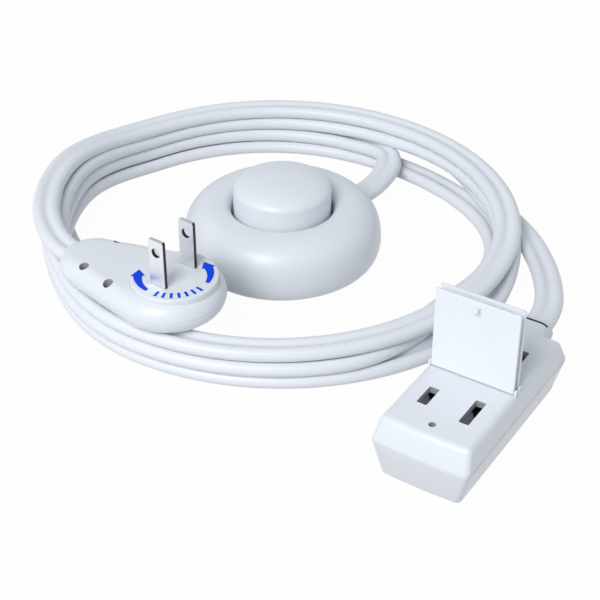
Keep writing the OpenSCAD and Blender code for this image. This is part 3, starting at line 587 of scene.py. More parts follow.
# Mid grey: painted shade on the walls of the slots, peg holes, the upper shell's room and the plug's
# screw pits, which are white plastic.
painted_shade_grey = finish("painted_shade_grey", (0.40, 0.41, 0.43), 0.5,
                   grain=(1900.0, 160.0), bump=0.015)
# Near-black: painted shade in the lower shell's room, the disc's blade slits and the gland's slits,
# which are white plastic.
painted_shade_dark = finish("painted_shade_dark", (0.10, 0.105, 0.115), 0.6,
                    grain=(1500.0, 180.0), wear=0.1)
pad_rubber = finish("pad_rubber", (0.55, 0.56, 0.58), 0.7,
                    grain=(900.0, 150.0), bump=0.06, specular=0.3)
nickel = finish("nickel_plate", (0.88, 0.885, 0.90), 0.38, metal=1.0,
                grain=(1400.0, 90.0), bump=0.003, wear_colour=(0.55, 0.48, 0.36),
                wear=0.1, dust=0.02)
steel = finish("screw_steel", (0.56, 0.57, 0.59), 0.34, metal=1.0,
               grain=(1600.0, 200.0), bump=0.012, wear_colour=(0.3, 0.29, 0.28), dust=0.03)
dark_steel = finish("dark_steel", (0.24, 0.245, 0.26), 0.36, metal=0.9,
                    grain=(1600.0, 200.0), bump=0.012, wear_colour=(0.4, 0.4, 0.4), dust=0.02)
spring_steel = finish("spring_steel", (0.48, 0.49, 0.51), 0.3, metal=1.0,
                      grain=(1200.0, 200.0), bump=0.015, wear_colour=(0.25, 0.24, 0.23),
                      dust=0.03)
brass = finish("contact_brass", (0.80, 0.60, 0.26), 0.3, metal=1.0,
               grain=(1500.0, 160.0), bump=0.012, wear_colour=(0.45, 0.30, 0.12), dust=0.03)
tinned = finish("contact_tinned", (0.55, 0.56, 0.58), 0.5, metal=0.6,
                grain=(1500.0, 160.0), bump=0.012, wear_colour=(0.2, 0.19, 0.17), dust=0.03)
nylon = finish("wheel_nylon", (0.80, 0.78, 0.70), 0.5,
               grain=(1300.0, 160.0), specular=0.4)
mark_blue = finish("mark_blue", (0.001, 0.062, 0.74), 0.6,
                   grain=(2200.0, 300.0), bump=0.01, wear_colour=(0.05, 0.15, 0.75),
                   dust=0.0, specular=0.15)
print("finishes:", len(bpy.data.materials) - 1)

# %% [markdown]
# A CAD node whose shape is right stays as it is and only gets its finish. That is so
# for the base and most parts inside: wheel, contacts, clamps, screws, pins and slip
# rings. A finish goes into the material slots of the node's mesh.

# %% Finishes on the nodes that stay
NODE_FINISHES = {
    "switch_pad": pad_rubber, "switch_base": shell_white, "switch_screws": steel,
    "ratchet_wheel": nylon, "wheel_axle": steel,
    "contact_moving": brass, "contact_fixed": brass,
    "cord_clamps": gland_white, "clamp_screws": steel,
    "slip_ring_inner": brass, "slip_ring_outer": brass,
    "contact_bar_line": tinned, "contact_bar_neutral": tinned,
    "lid_pins": steel, "outlet_screws": steel,
}


def give_finish(obj, material):
    """The material in every slot of the object's mesh."""
    slots = obj.data.materials
    if not slots:
        slots.append(material)
    for i in range(len(slots)):
        slots[i] = material


for node_name, material in NODE_FINISHES.items():
    give_finish(nodes[node_name], material)
print("nodes finished:", len(NODE_FINISHES))

# %% [markdown]
# Each new piece ends the same way: its mesh gets smooth shading with sharp edges kept
# by angle, the object gets a finish, stands for its CAD node and rides on that node's
# body, so that it moves with the joints.

# %% Helper: finish and place a piece
def placed(name, mesh, material, replaced=(), body="cord_set", sharp=38):
    """A finished piece from a mesh that is already in the model's frame."""
    mesh.name = name
    mesh.materials.clear()
    mesh.materials.append(material)
    for face in mesh.polygons:
        face.use_smooth = True
    mesh.set_sharp_from_angle(angle=radians(sharp))
    obj = link(name, mesh)
    if replaced:
        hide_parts(*replaced)
    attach(obj, body)
    return obj


def placed_as_is(name, mesh, replaced=(), body="cord_set", sharp=38):
    """Like placed, for a mesh that already has its finishes."""
    finishes = list(mesh.materials)
    indices = [face.material_index for face in mesh.polygons]
    obj = placed(name, mesh, finishes[0], replaced, body, sharp)
    for extra in finishes[1:]:
        mesh.materials.append(extra)
    mesh.polygons.foreach_set("material_index", indices)
    return obj


# %% [markdown]
# Now the two cords as pieces. Each stands for its own CAD solids. The first has the
# plug on its far end; the second goes from the switch back into the outlet block.

plug_side_cord = placed(
    "cord_plug_side", cord_mesh("cord_plug_side", plug_side_route), jacket_white,
    ("cord_coil", "cord_top_turn", "plug_lead", "switch_lead_in"), sharp=60)
outlet_side_cord = placed(
    "cord_outlet_side", cord_mesh("cord_outlet_side", outlet_side_route), jacket_white,
    ("switch_lead_out", "outlet_lead"), sharp=60)
print("cord faces:", len(plug_side_cord.data.polygons), len(outlet_side_cord.data.polygons))

# %% [markdown]
# The foot switch is a turned shape: a dome that falls from a flat crest to an upright
# waist and tucks in below. A half profile is drawn once as a chain of vertices and spun
# round the Z axis. The curve is a superellipse: one number says how full it is.

# %% Helpers: curves of a profile, and spinning it
def fall(inner, outer, low, high, fullness, steps=26):
    """Curve from a flat crest at (inner, high) to an upright side at (outer, low)."""
    power = 2 / fullness
    angles = [pi / 2 * i / steps for i in range(steps + 1)]
    return [(inner + (outer - inner) * sin(a) ** power, low + (high - low) * abs(cos(a)) ** power)
            for a in angles]


def tuck(foot, outer, low, high, steps=10):
    """Quarter ellipse that turns in from an upright side at (outer, high) to (foot, low)."""
    angles = [pi / 2 * i / steps for i in range(1, steps + 1)]
    return [(foot + (outer - foot) * cos(a), high - (high - low) * sin(a)) for a in angles]


def turned(profile, closed, steps=144):
    """A profile of (radius, height) pairs in mm, spun full round into a bmesh."""
    bm = bmesh.new()
    chain = [bm.verts.new((r * MM, 0, z * MM)) for r, z in profile]
    after = chain[1:] + chain[:1] if closed else chain[1:]
    edges = [bm.edges.new(pair) for pair in zip(chain, after)]
    bmesh.ops.spin(bm, geom=chain + edges, cent=(0, 0, 0), axis=(0, 0, 1), angle=2 * pi,
                   steps=steps, use_merge=True)
    bmesh.ops.remove_doubles(bm, verts=bm.verts, dist=0.002 * MM)
    bmesh.ops.recalc_face_normals(bm, faces=bm.faces)
    return bm


def mesh_of(bm, name, material=None):
    """The bmesh as a mesh; the bmesh is freed."""
    mesh = bpy.data.meshes.new(name)
    bm.to_mesh(mesh)
    bm.free()
    if material:
        mesh.materials.append(material)
    return mesh


print("points in a curve of a profile:", len(fall(0, 1, 0, 1, 2)))

# %% [markdown]
# Small straight parts and openings start as boxes and rods, with their edges bevelled.
# An opening is made with the Boolean modifier: a cutter body is taken away, and it
# leaves its own finish on the walls of the hole. The same helper joins bodies. The
# modifier's result becomes a mesh at once, so no modifier stays on a piece.

# %% Helpers: boxes, rods, bevels and cutting
def bevelled(bm, geom, width, segments, affect="EDGES"):
    """Bevels edges or corners of a bmesh by a width in mm."""
    bmesh.ops.bevel(bm, geom=geom, offset=width * MM, offset_type="OFFSET", affect=affect,
                    segments=segments, profile=0.5, material=-1)


def edges_above(bm, height):
    """Edges of a bmesh with both ends above a height in mm."""
    return [e for e in bm.edges if all(v.co.z > height * MM for v in e.verts)]


def reach_x(edge):
    """How far an edge reaches along X, in metres."""
    return abs(edge.verts[0].co.x - edge.verts[1].co.x)


def block_bm(size, place):
    """Box of a size in mm, its middle at a place in mm, as a bmesh."""
    bm = bmesh.new()
    bmesh.ops.create_cube(bm, size=MM, matrix=Matrix.Diagonal((*size, 1)))
    bmesh.ops.translate(bm, verts=bm.verts, vec=Vector(place) * MM)
    return bm


def rod_bm(radius, length, place, axis="Z", segments=40):
    """Cylinder of a radius and length in mm along an axis, its middle at a place in mm."""
    bm = bmesh.new()
    bmesh.ops.create_cone(bm, cap_ends=True, segments=segments, radius1=radius * MM,
                          radius2=radius * MM, depth=length * MM)
    quarter = pi / 2
    turns_to = {"Z": Matrix(), "X": Matrix.Rotation(quarter, 4, "Y"),
                "Y": Matrix.Rotation(quarter, 4, "X")}
    bmesh.ops.transform(bm, verts=bm.verts, matrix=turns_to[axis])
    bmesh.ops.translate(bm, verts=bm.verts, vec=Vector(place) * MM)
    return bm


def carved(mesh, cutters, operation="DIFFERENCE"):
    """The mesh with each cutter mesh taken away (or joined); cutters keep their own finish."""
    body = link("carving", mesh)
    tools = [link("cutter", cutter) for cutter in cutters]
    for tool in tools:
        step = body.modifiers.new("cut", "BOOLEAN")
        step.operation = operation
        step.solver = "EXACT"
        step.material_mode = "TRANSFER"
        step.object = tool
    result = baked_mesh(body, mesh.name)
    for tool in tools:
        bpy.data.objects.remove(tool)
    return result


def moved(bm, matrix):
    """The bmesh, with all its vertices moved by a matrix."""
    bmesh.ops.transform(bm, verts=bm.verts, matrix=matrix)
    return bm


def cutter(bm, material=None):
    """A body to cut or join with, as a mesh; its finish is the shells' if none is given."""
    return mesh_of(bm, "cutter", material or shell_white)


print("helpers made: boxes, rods, bevels and cutting")

# %% [markdown]
# The dome is a thin moulded shell. The lip round the button's hole is rounded over, and
# two flat ports let the cord in and out at opposite sides.

# %% Foot switch: dome
HOLE_R, LIP, LIP_STEPS, SKIRT_Z = 16, 3, 12, 11.1
CREST_R, CREST_Z, DOME_WALL = 20, 18.2, 2.2
WAIST_R, WAIST_Z, RIM_R, RIM_Z = 31, 6, 28.6, 0.8
DOME_FULL = 2.3
SKIRT_T = 1.6
PORT_ANGLES = (44, 224)
PORT_FROM_TO = (WAIST_R - 6, WAIST_R + 3)
PORT_Z = 6
PORT_FIT = 0.3

lip = [(HOLE_R + LIP * (1 - cos(a)), CREST_Z - LIP * (1 - sin(a)))
       for a in [pi / 2 * i / LIP_STEPS for i in range(LIP_STEPS)]]
outer = [(HOLE_R, SKIRT_Z), *lip, *fall(CREST_R, WAIST_R, WAIST_Z, CREST_Z, DOME_FULL),
         *tuck(RIM_R, WAIST_R, RIM_Z, WAIST_Z)]
inner = [*fall(CREST_R, WAIST_R - DOME_WALL, WAIST_Z, CREST_Z - DOME_WALL, DOME_FULL),
         *tuck(RIM_R - DOME_WALL, WAIST_R - DOME_WALL, RIM_Z, WAIST_Z)]
skirt = [(HOLE_R + SKIRT_T, CREST_Z - DOME_WALL), (HOLE_R + SKIRT_T, SKIRT_Z)]


def obround_loop(bm, x, width, height, segments=32):
    """Closed loop of edges round an obround that stands across X at x, sizes in mm."""
    loop = bmesh.ops.create_circle(bm, segments=segments, radius=height / 2 * MM,
                                   matrix=Matrix.Rotation(pi / segments, 4, "Z"))["verts"]
    for vert in loop:
        vert.co.x += (width - height) / 2 * MM * (1 if vert.co.x > 0 else -1)
    upright = Matrix(((0, 0, 1, x * MM), (1, 0, 0, 0), (0, 1, 0, 0), (0, 0, 0, 1)))
    bmesh.ops.transform(bm, verts=loop, matrix=upright)
    return list({edge for vert in loop for edge in vert.link_edges})


def obround_bm(sections, caps=True):
    """Body through obround sections (x, width, height) in mm, bridged one to the next."""
    bm = bmesh.new()
    loops = [obround_loop(bm, *section) for section in sections]
    for first, second in zip(loops, loops[1:]):
        bmesh.ops.bridge_loops(bm, edges=first + second)
    if caps:
        bmesh.ops.holes_fill(bm, edges=bm.edges, sides=0)
    bmesh.ops.recalc_face_normals(bm, faces=bm.faces)
    return bm


def port_cutter(angle):
    """Flat tunnel for the cord, out through the dome's side at an angle in degrees."""
    port = (CORD_W / MM + PORT_FIT, CORD_T / MM + PORT_FIT)
    tunnel = obround_bm([(x, *port) for x in PORT_FROM_TO])
    place = Matrix.Rotation(radians(angle), 4, "Z") @ Matrix.Translation((0, 0, PORT_Z * MM))
    return cutter(moved(tunnel, place))


dome_shell = mesh_of(turned(outer + inner[::-1] + skirt, closed=True), "switch_dome_shell",
                     shell_white)
dome_mesh = carved(dome_shell, [port_cutter(a) for a in PORT_ANGLES])
dome = placed("switch_dome_shell", dome_mesh, shell_white, ("switch_dome",))
print("dome height in mm:", round(max(v.co.z for v in dome.data.vertices) / MM, 1))

# %% [markdown]
# The button is a second turned shell that slides in the dome's hole. A flange below the
# lip keeps it from coming out. The pawl on its underside pushes the ratchet wheel on
# by one tooth at each press.

# %% Foot switch: button
BUTTON_R, BUTTON_TOP, BUTTON_SIDE_Z, BUTTON_FULL, BUTTON_WALL = 15.2, 27, 22.5, 2.2, 2
BUTTON_ROOF, BUTTON_ROOM_FULL = 0.9, 2.8
FLANGE_R, FLANGE_Z, FLANGE_T = 18.6, 9, 1.8
PAWL_X, PAWL_T, PAWL_W, PAWL_FOOT, PAWL_TOP = 8.3, 2, 3, 11.5, 25

button_outer = [*fall(0, BUTTON_R, BUTTON_SIDE_Z, BUTTON_TOP, BUTTON_FULL, 34),
                (BUTTON_R, FLANGE_Z + FLANGE_T), (FLANGE_R, FLANGE_Z + FLANGE_T),
                (FLANGE_R, FLANGE_Z), (BUTTON_R - BUTTON_WALL, FLANGE_Z)]
button_inner = fall(0, BUTTON_R - BUTTON_WALL, BUTTON_SIDE_Z, BUTTON_TOP - BUTTON_ROOF,
                    BUTTON_ROOM_FULL, 20)
button_mesh = mesh_of(turned(button_outer + button_inner[::-1], closed=False),
                      "switch_button_cap", button_white)
pawl = cutter(block_bm((PAWL_T, PAWL_W, PAWL_TOP - PAWL_FOOT),
                       (PAWL_X, 0, (PAWL_TOP + PAWL_FOOT) / 2)), button_white)
placed("switch_button_cap", carved(button_mesh, [pawl], "UNION"), button_white,
       ("switch_button",), "switch_button")
print("button stands", round(BUTTON_TOP - CREST_Z, 1), "mm above the dome")

# %% [markdown]
# The return spring stands under the button. It is a helix: a curve with a round bevel.

# %% Foot switch: return spring
SPRING_R, SPRING_WIRE, SPRING_TURNS, SPRING_STEPS = 11.5, 1.1, 4, 32
SPRING_TOP, PRESS = 24, 5
spring_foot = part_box("button_spring")[0].z / MM
spring_rise = SPRING_TOP - SPRING_WIRE - spring_foot
spring_count = SPRING_TURNS * SPRING_STEPS
spring_points = []
for i in range(spring_count + 1):
    angle = 2 * pi * i / SPRING_STEPS
    height = spring_foot + SPRING_WIRE / 2 + spring_rise * i / spring_count
    spring_points.append(Vector((SPRING_R * cos(angle), SPRING_R * sin(angle), height)) * MM)
spring_curve = poly_curve("button_spring_coil", spring_points)
spring_curve.bevel_depth = SPRING_WIRE / 2 * MM
spring_curve.bevel_resolution = 3
spring_curve.use_fill_caps = True
spring_mesh = baked_mesh(link("coil", spring_curve), "button_spring_coil")
spring = placed("button_spring_coil", spring_mesh, spring_steel, ("button_spring",),
                sharp=60)
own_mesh(spring)

# %% [markdown]
# The plug's body is a smooth drop: a thick round front, a waist and a narrow tail. The
# outline of a drop is the hull round three rounded discs. Here each disc is a stack of
# circles, and the convex hull operator draws the skin round them. The skin is then cut
# in two at mid-height, because the plug is moulded as two halves that are screwed
# together.

# %% Plug: frame and body
PLUG_PLACE = Vector((-29.8, -49, 18.2)) * MM
PLUG_TURN = radians(-31.8)
DISC_TURN = radians(-4.7)
PLUG_FRAME = Matrix.Translation(PLUG_PLACE) @ Matrix.Rotation(PLUG_TURN, 4, "Z")
DISC_FRAME = PLUG_FRAME @ Matrix.Rotation(DISC_TURN, 4, "Z")
PLUG_DISCS = [  # x, y, radius, top and bottom, in mm
    (-1.6, -0.5, 16.3, 4.4, -5.5), (-21.9, 0, 10.5, 4.2, -5.1), (-28.3, -0.8, 10, 4.2, -4.5),
]
RING_STEPS, RING_SEGMENTS, RING_LEAST = 12, 96, 0.4
PLUG_SEAM = 0.02  # half the gap between the two halves
DISC_R, DISC_FIT, DISC_FLANGE, DISC_TOP = 12.6, 0.07, 0.5, 5.5
WELL_R, WELL_Z = 12.6, -2.9
PLUG_SCREWS = [(-25.8, 7.7), (-25.8, -8.1), (-14.9, 10.6), (-14.9, -11.1)]
SCREW_HEAD_R, SCREW_HEAD_Z, HEAD_T = 1.35, 1.5, 1.2
PIT_FIT, PIT_L = 0.1, 12
FLANGE_FIT, FLANGE_ROOM_T = 0.2, 5
CUT_L, CUT_MID = 20, 8  # a cut longer than the plug is thick


def plug_skin():
    """Closed skin of the whole plug: the hull round three rounded discs."""
    bm = bmesh.new()
    for x, y, radius, top, bottom in PLUG_DISCS:
        half = (top - bottom) / 2
        for i in range(-RING_STEPS, RING_STEPS + 1):
            lean = pi / 2 * i / RING_STEPS
            ring = max(radius - half * (1 - cos(lean)), RING_LEAST)
            place = Matrix.Translation(Vector((x, y, bottom + half + half * sin(lean))) * MM)
            bmesh.ops.create_circle(bm, segments=RING_SEGMENTS, radius=ring * MM, matrix=place)
    hull = bmesh.ops.convex_hull(bm, input=bm.verts, use_existing_faces=False)
    left_over = hull["geom_interior"] + hull["geom_unused"]
    spare = {e for e in left_over if isinstance(e, bmesh.types.BMVert)}
    bmesh.ops.delete(bm, geom=list(spare), context="VERTS")
    loose = [e for e in bm.edges if not e.link_faces]
    bmesh.ops.delete(bm, geom=loose, context="EDGES")
    bmesh.ops.remove_doubles(bm, verts=bm.verts, dist=0.01 * MM)
    bmesh.ops.recalc_face_normals(bm, faces=bm.faces)
    return bm


def plug_half(side):
    """Upper (side 1) or lower (side -1) half of the skin, closed at the seam."""
    bm = plug_skin()
    bmesh.ops.bisect_plane(bm, geom=[*bm.verts, *bm.edges, *bm.faces], dist=0.001 * MM,
                           plane_co=(0, 0, side * PLUG_SEAM * MM), plane_no=(0, 0, side),
                           clear_inner=True)
    rim = [e for e in bm.edges if len(e.link_faces) == 1]
    bmesh.ops.holes_fill(bm, edges=rim, sides=0)
    bmesh.ops.recalc_face_normals(bm, faces=bm.faces)
    return mesh_of(bm, "plug_half", shell_white)


well = rod_bm(DISC_R + DISC_FIT, CUT_L, (0, 0, CUT_MID), segments=128)
flange_room = rod_bm(DISC_R + DISC_FLANGE + FLANGE_FIT, FLANGE_ROOM_T, (0, 0, 0), segments=128)
pit_z = SCREW_HEAD_Z - HEAD_T + PIT_L / 2
pits = [rod_bm(SCREW_HEAD_R + PIT_FIT, PIT_L, (x, y, pit_z)) for x, y in PLUG_SCREWS]
rear_room = rod_bm(WELL_R, CUT_L, (0, 0, WELL_Z + CUT_L / 2), segments=96)
# The screw pits' walls get the mid grey: painted shade.
plug_front_mesh = carved(plug_half(1), [cutter(well), cutter(flange_room),
                                        *[cutter(pit, painted_shade_grey) for pit in pits]])
plug_rear_mesh = carved(plug_half(-1), [cutter(rear_room)])
for half_mesh in (plug_front_mesh, plug_rear_mesh):
    half_mesh.transform(PLUG_FRAME)
plug_front = placed_as_is("plug_front", plug_front_mesh, ("plug_front_shell",))
plug_rear = placed("plug_rear", plug_rear_mesh, shell_white, ("plug_rear_shell",))
print("plug faces:", len(plug_front_mesh.polygons) + len(plug_rear_mesh.polygons))

# %% [markdown]
# The disc turns in the plug's face. It is a turned piece as well: a flange that the
# front shell holds down, and a face with a rounded rim that stands a little proud. Two
# slits let the blades through.

# %% Plug: swivelling disc
DISC_UNDER, DISC_FLANGE_T, RIM_ROUND, RIM_STEPS = 0.2, 2, 0.5, 8
BLADE_W, BLADE_T, BLADE_PITCH, BLADE_LEN = 5.3, 1.1, 12.7, 14.8
BLADE_FIT = 0.2
flange_r, flange_top = DISC_R + DISC_FLANGE, DISC_UNDER + DISC_FLANGE_T
rim_round = [(DISC_R - RIM_ROUND * (1 - cos(a)), DISC_TOP - RIM_ROUND * (1 - sin(a)))
             for a in [pi / 2 * i / RIM_STEPS for i in range(RIM_STEPS + 1)]]
disc_profile = [(0, DISC_UNDER), (flange_r, DISC_UNDER), (flange_r, flange_top),
                (DISC_R, flange_top), *rim_round, (0, DISC_TOP)]
slit_size = (BLADE_W + BLADE_FIT, BLADE_T + BLADE_FIT, CUT_L)
# The slits' walls are painted near-black: painted shade.
slits = [cutter(block_bm(slit_size, (0, side * BLADE_PITCH / 2, 0)), painted_shade_dark)
         for side in (-1, 1)]
disc_mesh = carved(mesh_of(turned(disc_profile, closed=False), "plug_face", shell_white), slits)
disc_mesh.transform(DISC_FRAME)
plug_face = placed("plug_face", disc_mesh, shell_white, ("plug_disc",), "plug_disc")
print("disc stands", round(DISC_TOP - PLUG_DISCS[0][3], 1), "mm above the plug's face")

# %% [markdown]
# Two curved arrows on the disc show that it turns, with a few short ticks between them.
# They are ink: thin plates a twentieth of a millimetre thick. An arrow is an arc, spun
# from one short edge and widened along its way, with a three-cornered head on its end.

# %% Plug: turning marks on the disc
MARK_R, MARK_W, MARK_T, MARK_LIFT = 10.2, 2.6, 0.05, 0.01
ARROWS = ((-97, -1), (14, 1))  # where the tail starts, in degrees, and which way it goes
ARROW_SWEEP, ARROW_STEPS, TAIL_W = 44, 12, MARK_W * 0.45
HEAD_LEN, HEAD_W, TIP_IN = 3.2, 4.2, 0.3
TICK_ANGLES = (-78, -66, -54, -42, -30, -18, -6)
TICK_L, TICK_W = 2.4, 0.8


def ink(bm, name):
    """Gives a flat face set the thickness of ink and lays it on the disc."""
    bmesh.ops.recalc_face_normals(bm, faces=bm.faces)
    if next(iter(bm.faces)).normal.z < 0:
        bmesh.ops.reverse_faces(bm, faces=bm.faces)
    top = bmesh.ops.extrude_face_region(bm, geom=bm.faces[:])["geom"]
    raised = [v for v in top if isinstance(v, bmesh.types.BMVert)]
    bmesh.ops.translate(bm, verts=raised, vec=(0, 0, MARK_T * MM))
    bmesh.ops.recalc_face_normals(bm, faces=bm.faces)
    on_disc = Matrix.Translation((0, 0, (DISC_TOP + MARK_LIFT) * MM))
    return mesh_of(moved(bm, DISC_FRAME @ on_disc), name, mark_blue)


def arrow(start, way):
    """Curved arrow from an angle in degrees; way is 1 or -1."""
    bm = bmesh.new()
    sweep = radians(ARROW_SWEEP)
    ends = [bm.verts.new(((MARK_R + s * TAIL_W / 2) * MM, 0, 0)) for s in (-1, 1)]
    edge = bm.edges.new(ends)
    bmesh.ops.spin(bm, geom=[*ends, edge], cent=(0, 0, 0), axis=(0, 0, 1), angle=sweep * way,
                   steps=ARROW_STEPS, use_duplicate=False)
    for vert in bm.verts:
        share = abs(atan2(vert.co.y, vert.co.x)) / sweep
        radius = vert.co.xy.length / MM
        wide = MARK_R + (radius - MARK_R) * (1 + share * (MARK_W / TAIL_W - 1))
        vert.co.xy = vert.co.xy.normalized() * wide * MM
    tip_turn = Matrix.Rotation(sweep * way, 4, "Z")
    head = ((MARK_R - HEAD_W / 2, 0, 0), (MARK_R + HEAD_W / 2, 0, 0),
            (MARK_R - TIP_IN, way * HEAD_LEN, 0))
    bm.faces.new([bm.verts.new(tip_turn @ (Vector(p) * MM)) for p in head])
    bmesh.ops.recalc_face_normals(bm, faces=bm.faces)
    return moved(bm, Matrix.Rotation(radians(start), 4, "Z"))


def tick(angle):
    """Short stroke that points at the disc's middle, at an angle in degrees."""
    bm = bmesh.new()
    place = Matrix.Translation((MARK_R * MM, 0, 0)) @ Matrix.Diagonal((TICK_L, TICK_W, 1, 1))
    bmesh.ops.create_grid(bm, x_segments=1, y_segments=1, size=0.5 * MM, matrix=place)
    return moved(bm, Matrix.Rotation(radians(angle), 4, "Z"))


def joined(meshes, name):
    """One mesh from several."""
    bm = bmesh.new()
    for mesh in meshes:
        bm.from_mesh(mesh)
        bpy.data.meshes.remove(mesh)
    return mesh_of(bm, name)


marks = joined([*[ink(arrow(*values), "arrow") for values in ARROWS],
                *[ink(tick(angle), "tick") for angle in TICK_ANGLES]], "turn_marks")
turn_marks = placed("turn_marks", marks, mark_blue, (), "plug_disc")
print("marks on the disc:", len(ARROWS) + len(TICK_ANGLES))

# %% [markdown]
# A blade is a flat strip with a round hole, its corners just taken off. Its wide faces
# are plated and bright. The narrow sides get a rougher, near-black finish of their own,
# a painted dark reflection, picked by the direction that a face looks in; the same
# finish on the hole's walls is painted shade. The foot inside the plug rubs on a slip
# ring, which carries the current while the disc turns.

# %% Plug: blades
BLADE_CORNER, BLADE_HOLE_R, BLADE_HOLE_AT = 0.35, 1.5, 3.9
BLADE_ROOT = -2.0
FOOT_T = 0.8
FOOT_INNER, FOOT_OUTER = -1.7, 10  # where the feet end, on the inner and the outer ring
blade_tip = DISC_TOP + BLADE_LEN
# Near-black: painted dark reflection on the blades' narrow sides, painted shade in the blade holes
# and in the screws' cross recesses.
painted_dark_reflection_shade = finish("painted_dark_reflection_shade_finish", (0.05, 0.05, 0.055), 0.42, metal=0.85,
                 grain=(1800.0, 260.0), wear_colour=(0.25, 0.25, 0.26), dust=0.0)


def blade_mesh(side, foot_end):
    """Strip across X, its thickness along Y, with its foot towards foot_end."""
    y = side * BLADE_PITCH / 2
    bm = block_bm((BLADE_W, BLADE_T, blade_tip - BLADE_ROOT), (0, y, (blade_tip + BLADE_ROOT) / 2))
    corners = [e for e in edges_above(bm, blade_tip - 0.1) if reach_x(e) < 0.1 * MM]
    bevelled(bm, corners, BLADE_CORNER, 1)
    # The hole's walls get the near-black: painted shade.
    hole = cutter(rod_bm(BLADE_HOLE_R, 6, (0, y, blade_tip - BLADE_HOLE_AT), "Y", 48), painted_dark_reflection_shade)
    strip = carved(mesh_of(bm, "blade", nickel), [hole])
    foot = cutter(block_bm((BLADE_W, abs(foot_end - y), FOOT_T),
                           (0, (foot_end + y) / 2, BLADE_ROOT + FOOT_T / 2)), nickel)
    mesh = carved(strip, [foot], "UNION")
    # Faces that look along the strip's width are its narrow sides; they get the painted dark
    # reflection
    dark_reflection_slot = list(mesh.materials).index(painted_dark_reflection_shade)
    for face in mesh.polygons:
        if abs(face.normal.x) > 0.5:
            face.material_index = dark_reflection_slot
    mesh.transform(DISC_FRAME)
    return mesh


blade_one = placed_as_is("plug_blade_line", blade_mesh(-1, FOOT_INNER),
                         ("blade_line",), "plug_disc", 30)
blade_two = placed_as_is("plug_blade_neutral", blade_mesh(1, FOOT_OUTER),
                         ("blade_neutral",), "plug_disc", 30)
print("blades stand", BLADE_LEN, "mm above the disc")

# %% [markdown]
# Four small screws hold the plug's halves together, sunk in round recesses whose walls
# are painted mid grey as shade. Each head gets a cross recess, cut with two crossed
# slabs that paint its walls near-black as shade, so that it reads as a screw.

# %% Plug: screws
SHANK_R, SHANK_LEN, SHANK_IN = 1.1, 2.6, 0.1
HEAD_ROUND = 0.3
CROSS_L, CROSS_W, CROSS_T = 1.9, 0.42, 1.2


def screw_mesh(x, y, top):
    """Screw with a cross recess, its head's top at a height in mm."""
    head = rod_bm(SCREW_HEAD_R, HEAD_T, (x, y, top - HEAD_T / 2))
    bevelled(head, edges_above(head, top - 0.05), HEAD_ROUND, 3)
    shank_z = top - HEAD_T - SHANK_LEN / 2 + SHANK_IN
    shank = cutter(rod_bm(SHANK_R, SHANK_LEN, (x, y, shank_z), segments=24), dark_steel)
    slabs = [cutter(block_bm(size, (x, y, top)), painted_dark_reflection_shade)
             for size in ((CROSS_L, CROSS_W, CROSS_T), (CROSS_W, CROSS_L, CROSS_T))]
    return carved(carved(mesh_of(head, "screw", dark_steel), [shank], "UNION"), slabs)


def joined_as_is(meshes, name):
    """One mesh from several that share their list of finishes."""
    finishes = list(meshes[0].materials)
    mesh = joined(meshes, name)
    for material in finishes:
        mesh.materials.append(material)
    return mesh


plug_screws_mesh = joined_as_is([screw_mesh(x, y, SCREW_HEAD_Z) for x, y in PLUG_SCREWS],
                                "plug_screw_heads")
plug_screws_mesh.transform(PLUG_FRAME)
plug_screws = placed_as_is("plug_screw_heads", plug_screws_mesh, ("plug_screws",))
print("screws in the plug:", len(PLUG_SCREWS))

# %% [markdown]
# The outlet block is two moulded shells with drafted sides: they are widest at the
# parting line and lean in to the top and to the base. Its ends bow out a little. The
# outline is a grid whose end rows are pushed out into a bow, melted into one face, with
# its corner vertices bevelled round. Extruding and scaling that face gives the draft.

# %% Outlet block: drafted bodies
BLOCK_PLACE = Vector((35.6, -111.6, 0)) * MM
BLOCK_TURN = radians(57.3)
BLOCK_FRAME = Matrix.Translation(BLOCK_PLACE) @ Matrix.Rotation(BLOCK_TURN, 4, "Z")
BLOCK_L, BLOCK_W, BLOCK_H, PART_Z = 56.6, 28, 17.8, 11.1
EXTRA_L = 2.4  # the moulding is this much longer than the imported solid
BASE_L, BASE_W, TOP_L, TOP_W = 53, 22.7, 50.8, 25.4
CORNER, ROOM_CORNER, BOW = 1.6, 1.5, 0.5
TOP_EDGE, FOOT_EDGE, PART_EDGE = 1.5, 0.8, 0.3
BLOCK_WALL, ROOF_T, PART_GAP, ROOM_OVERLAP = 1.8, 2, 0.05, 1


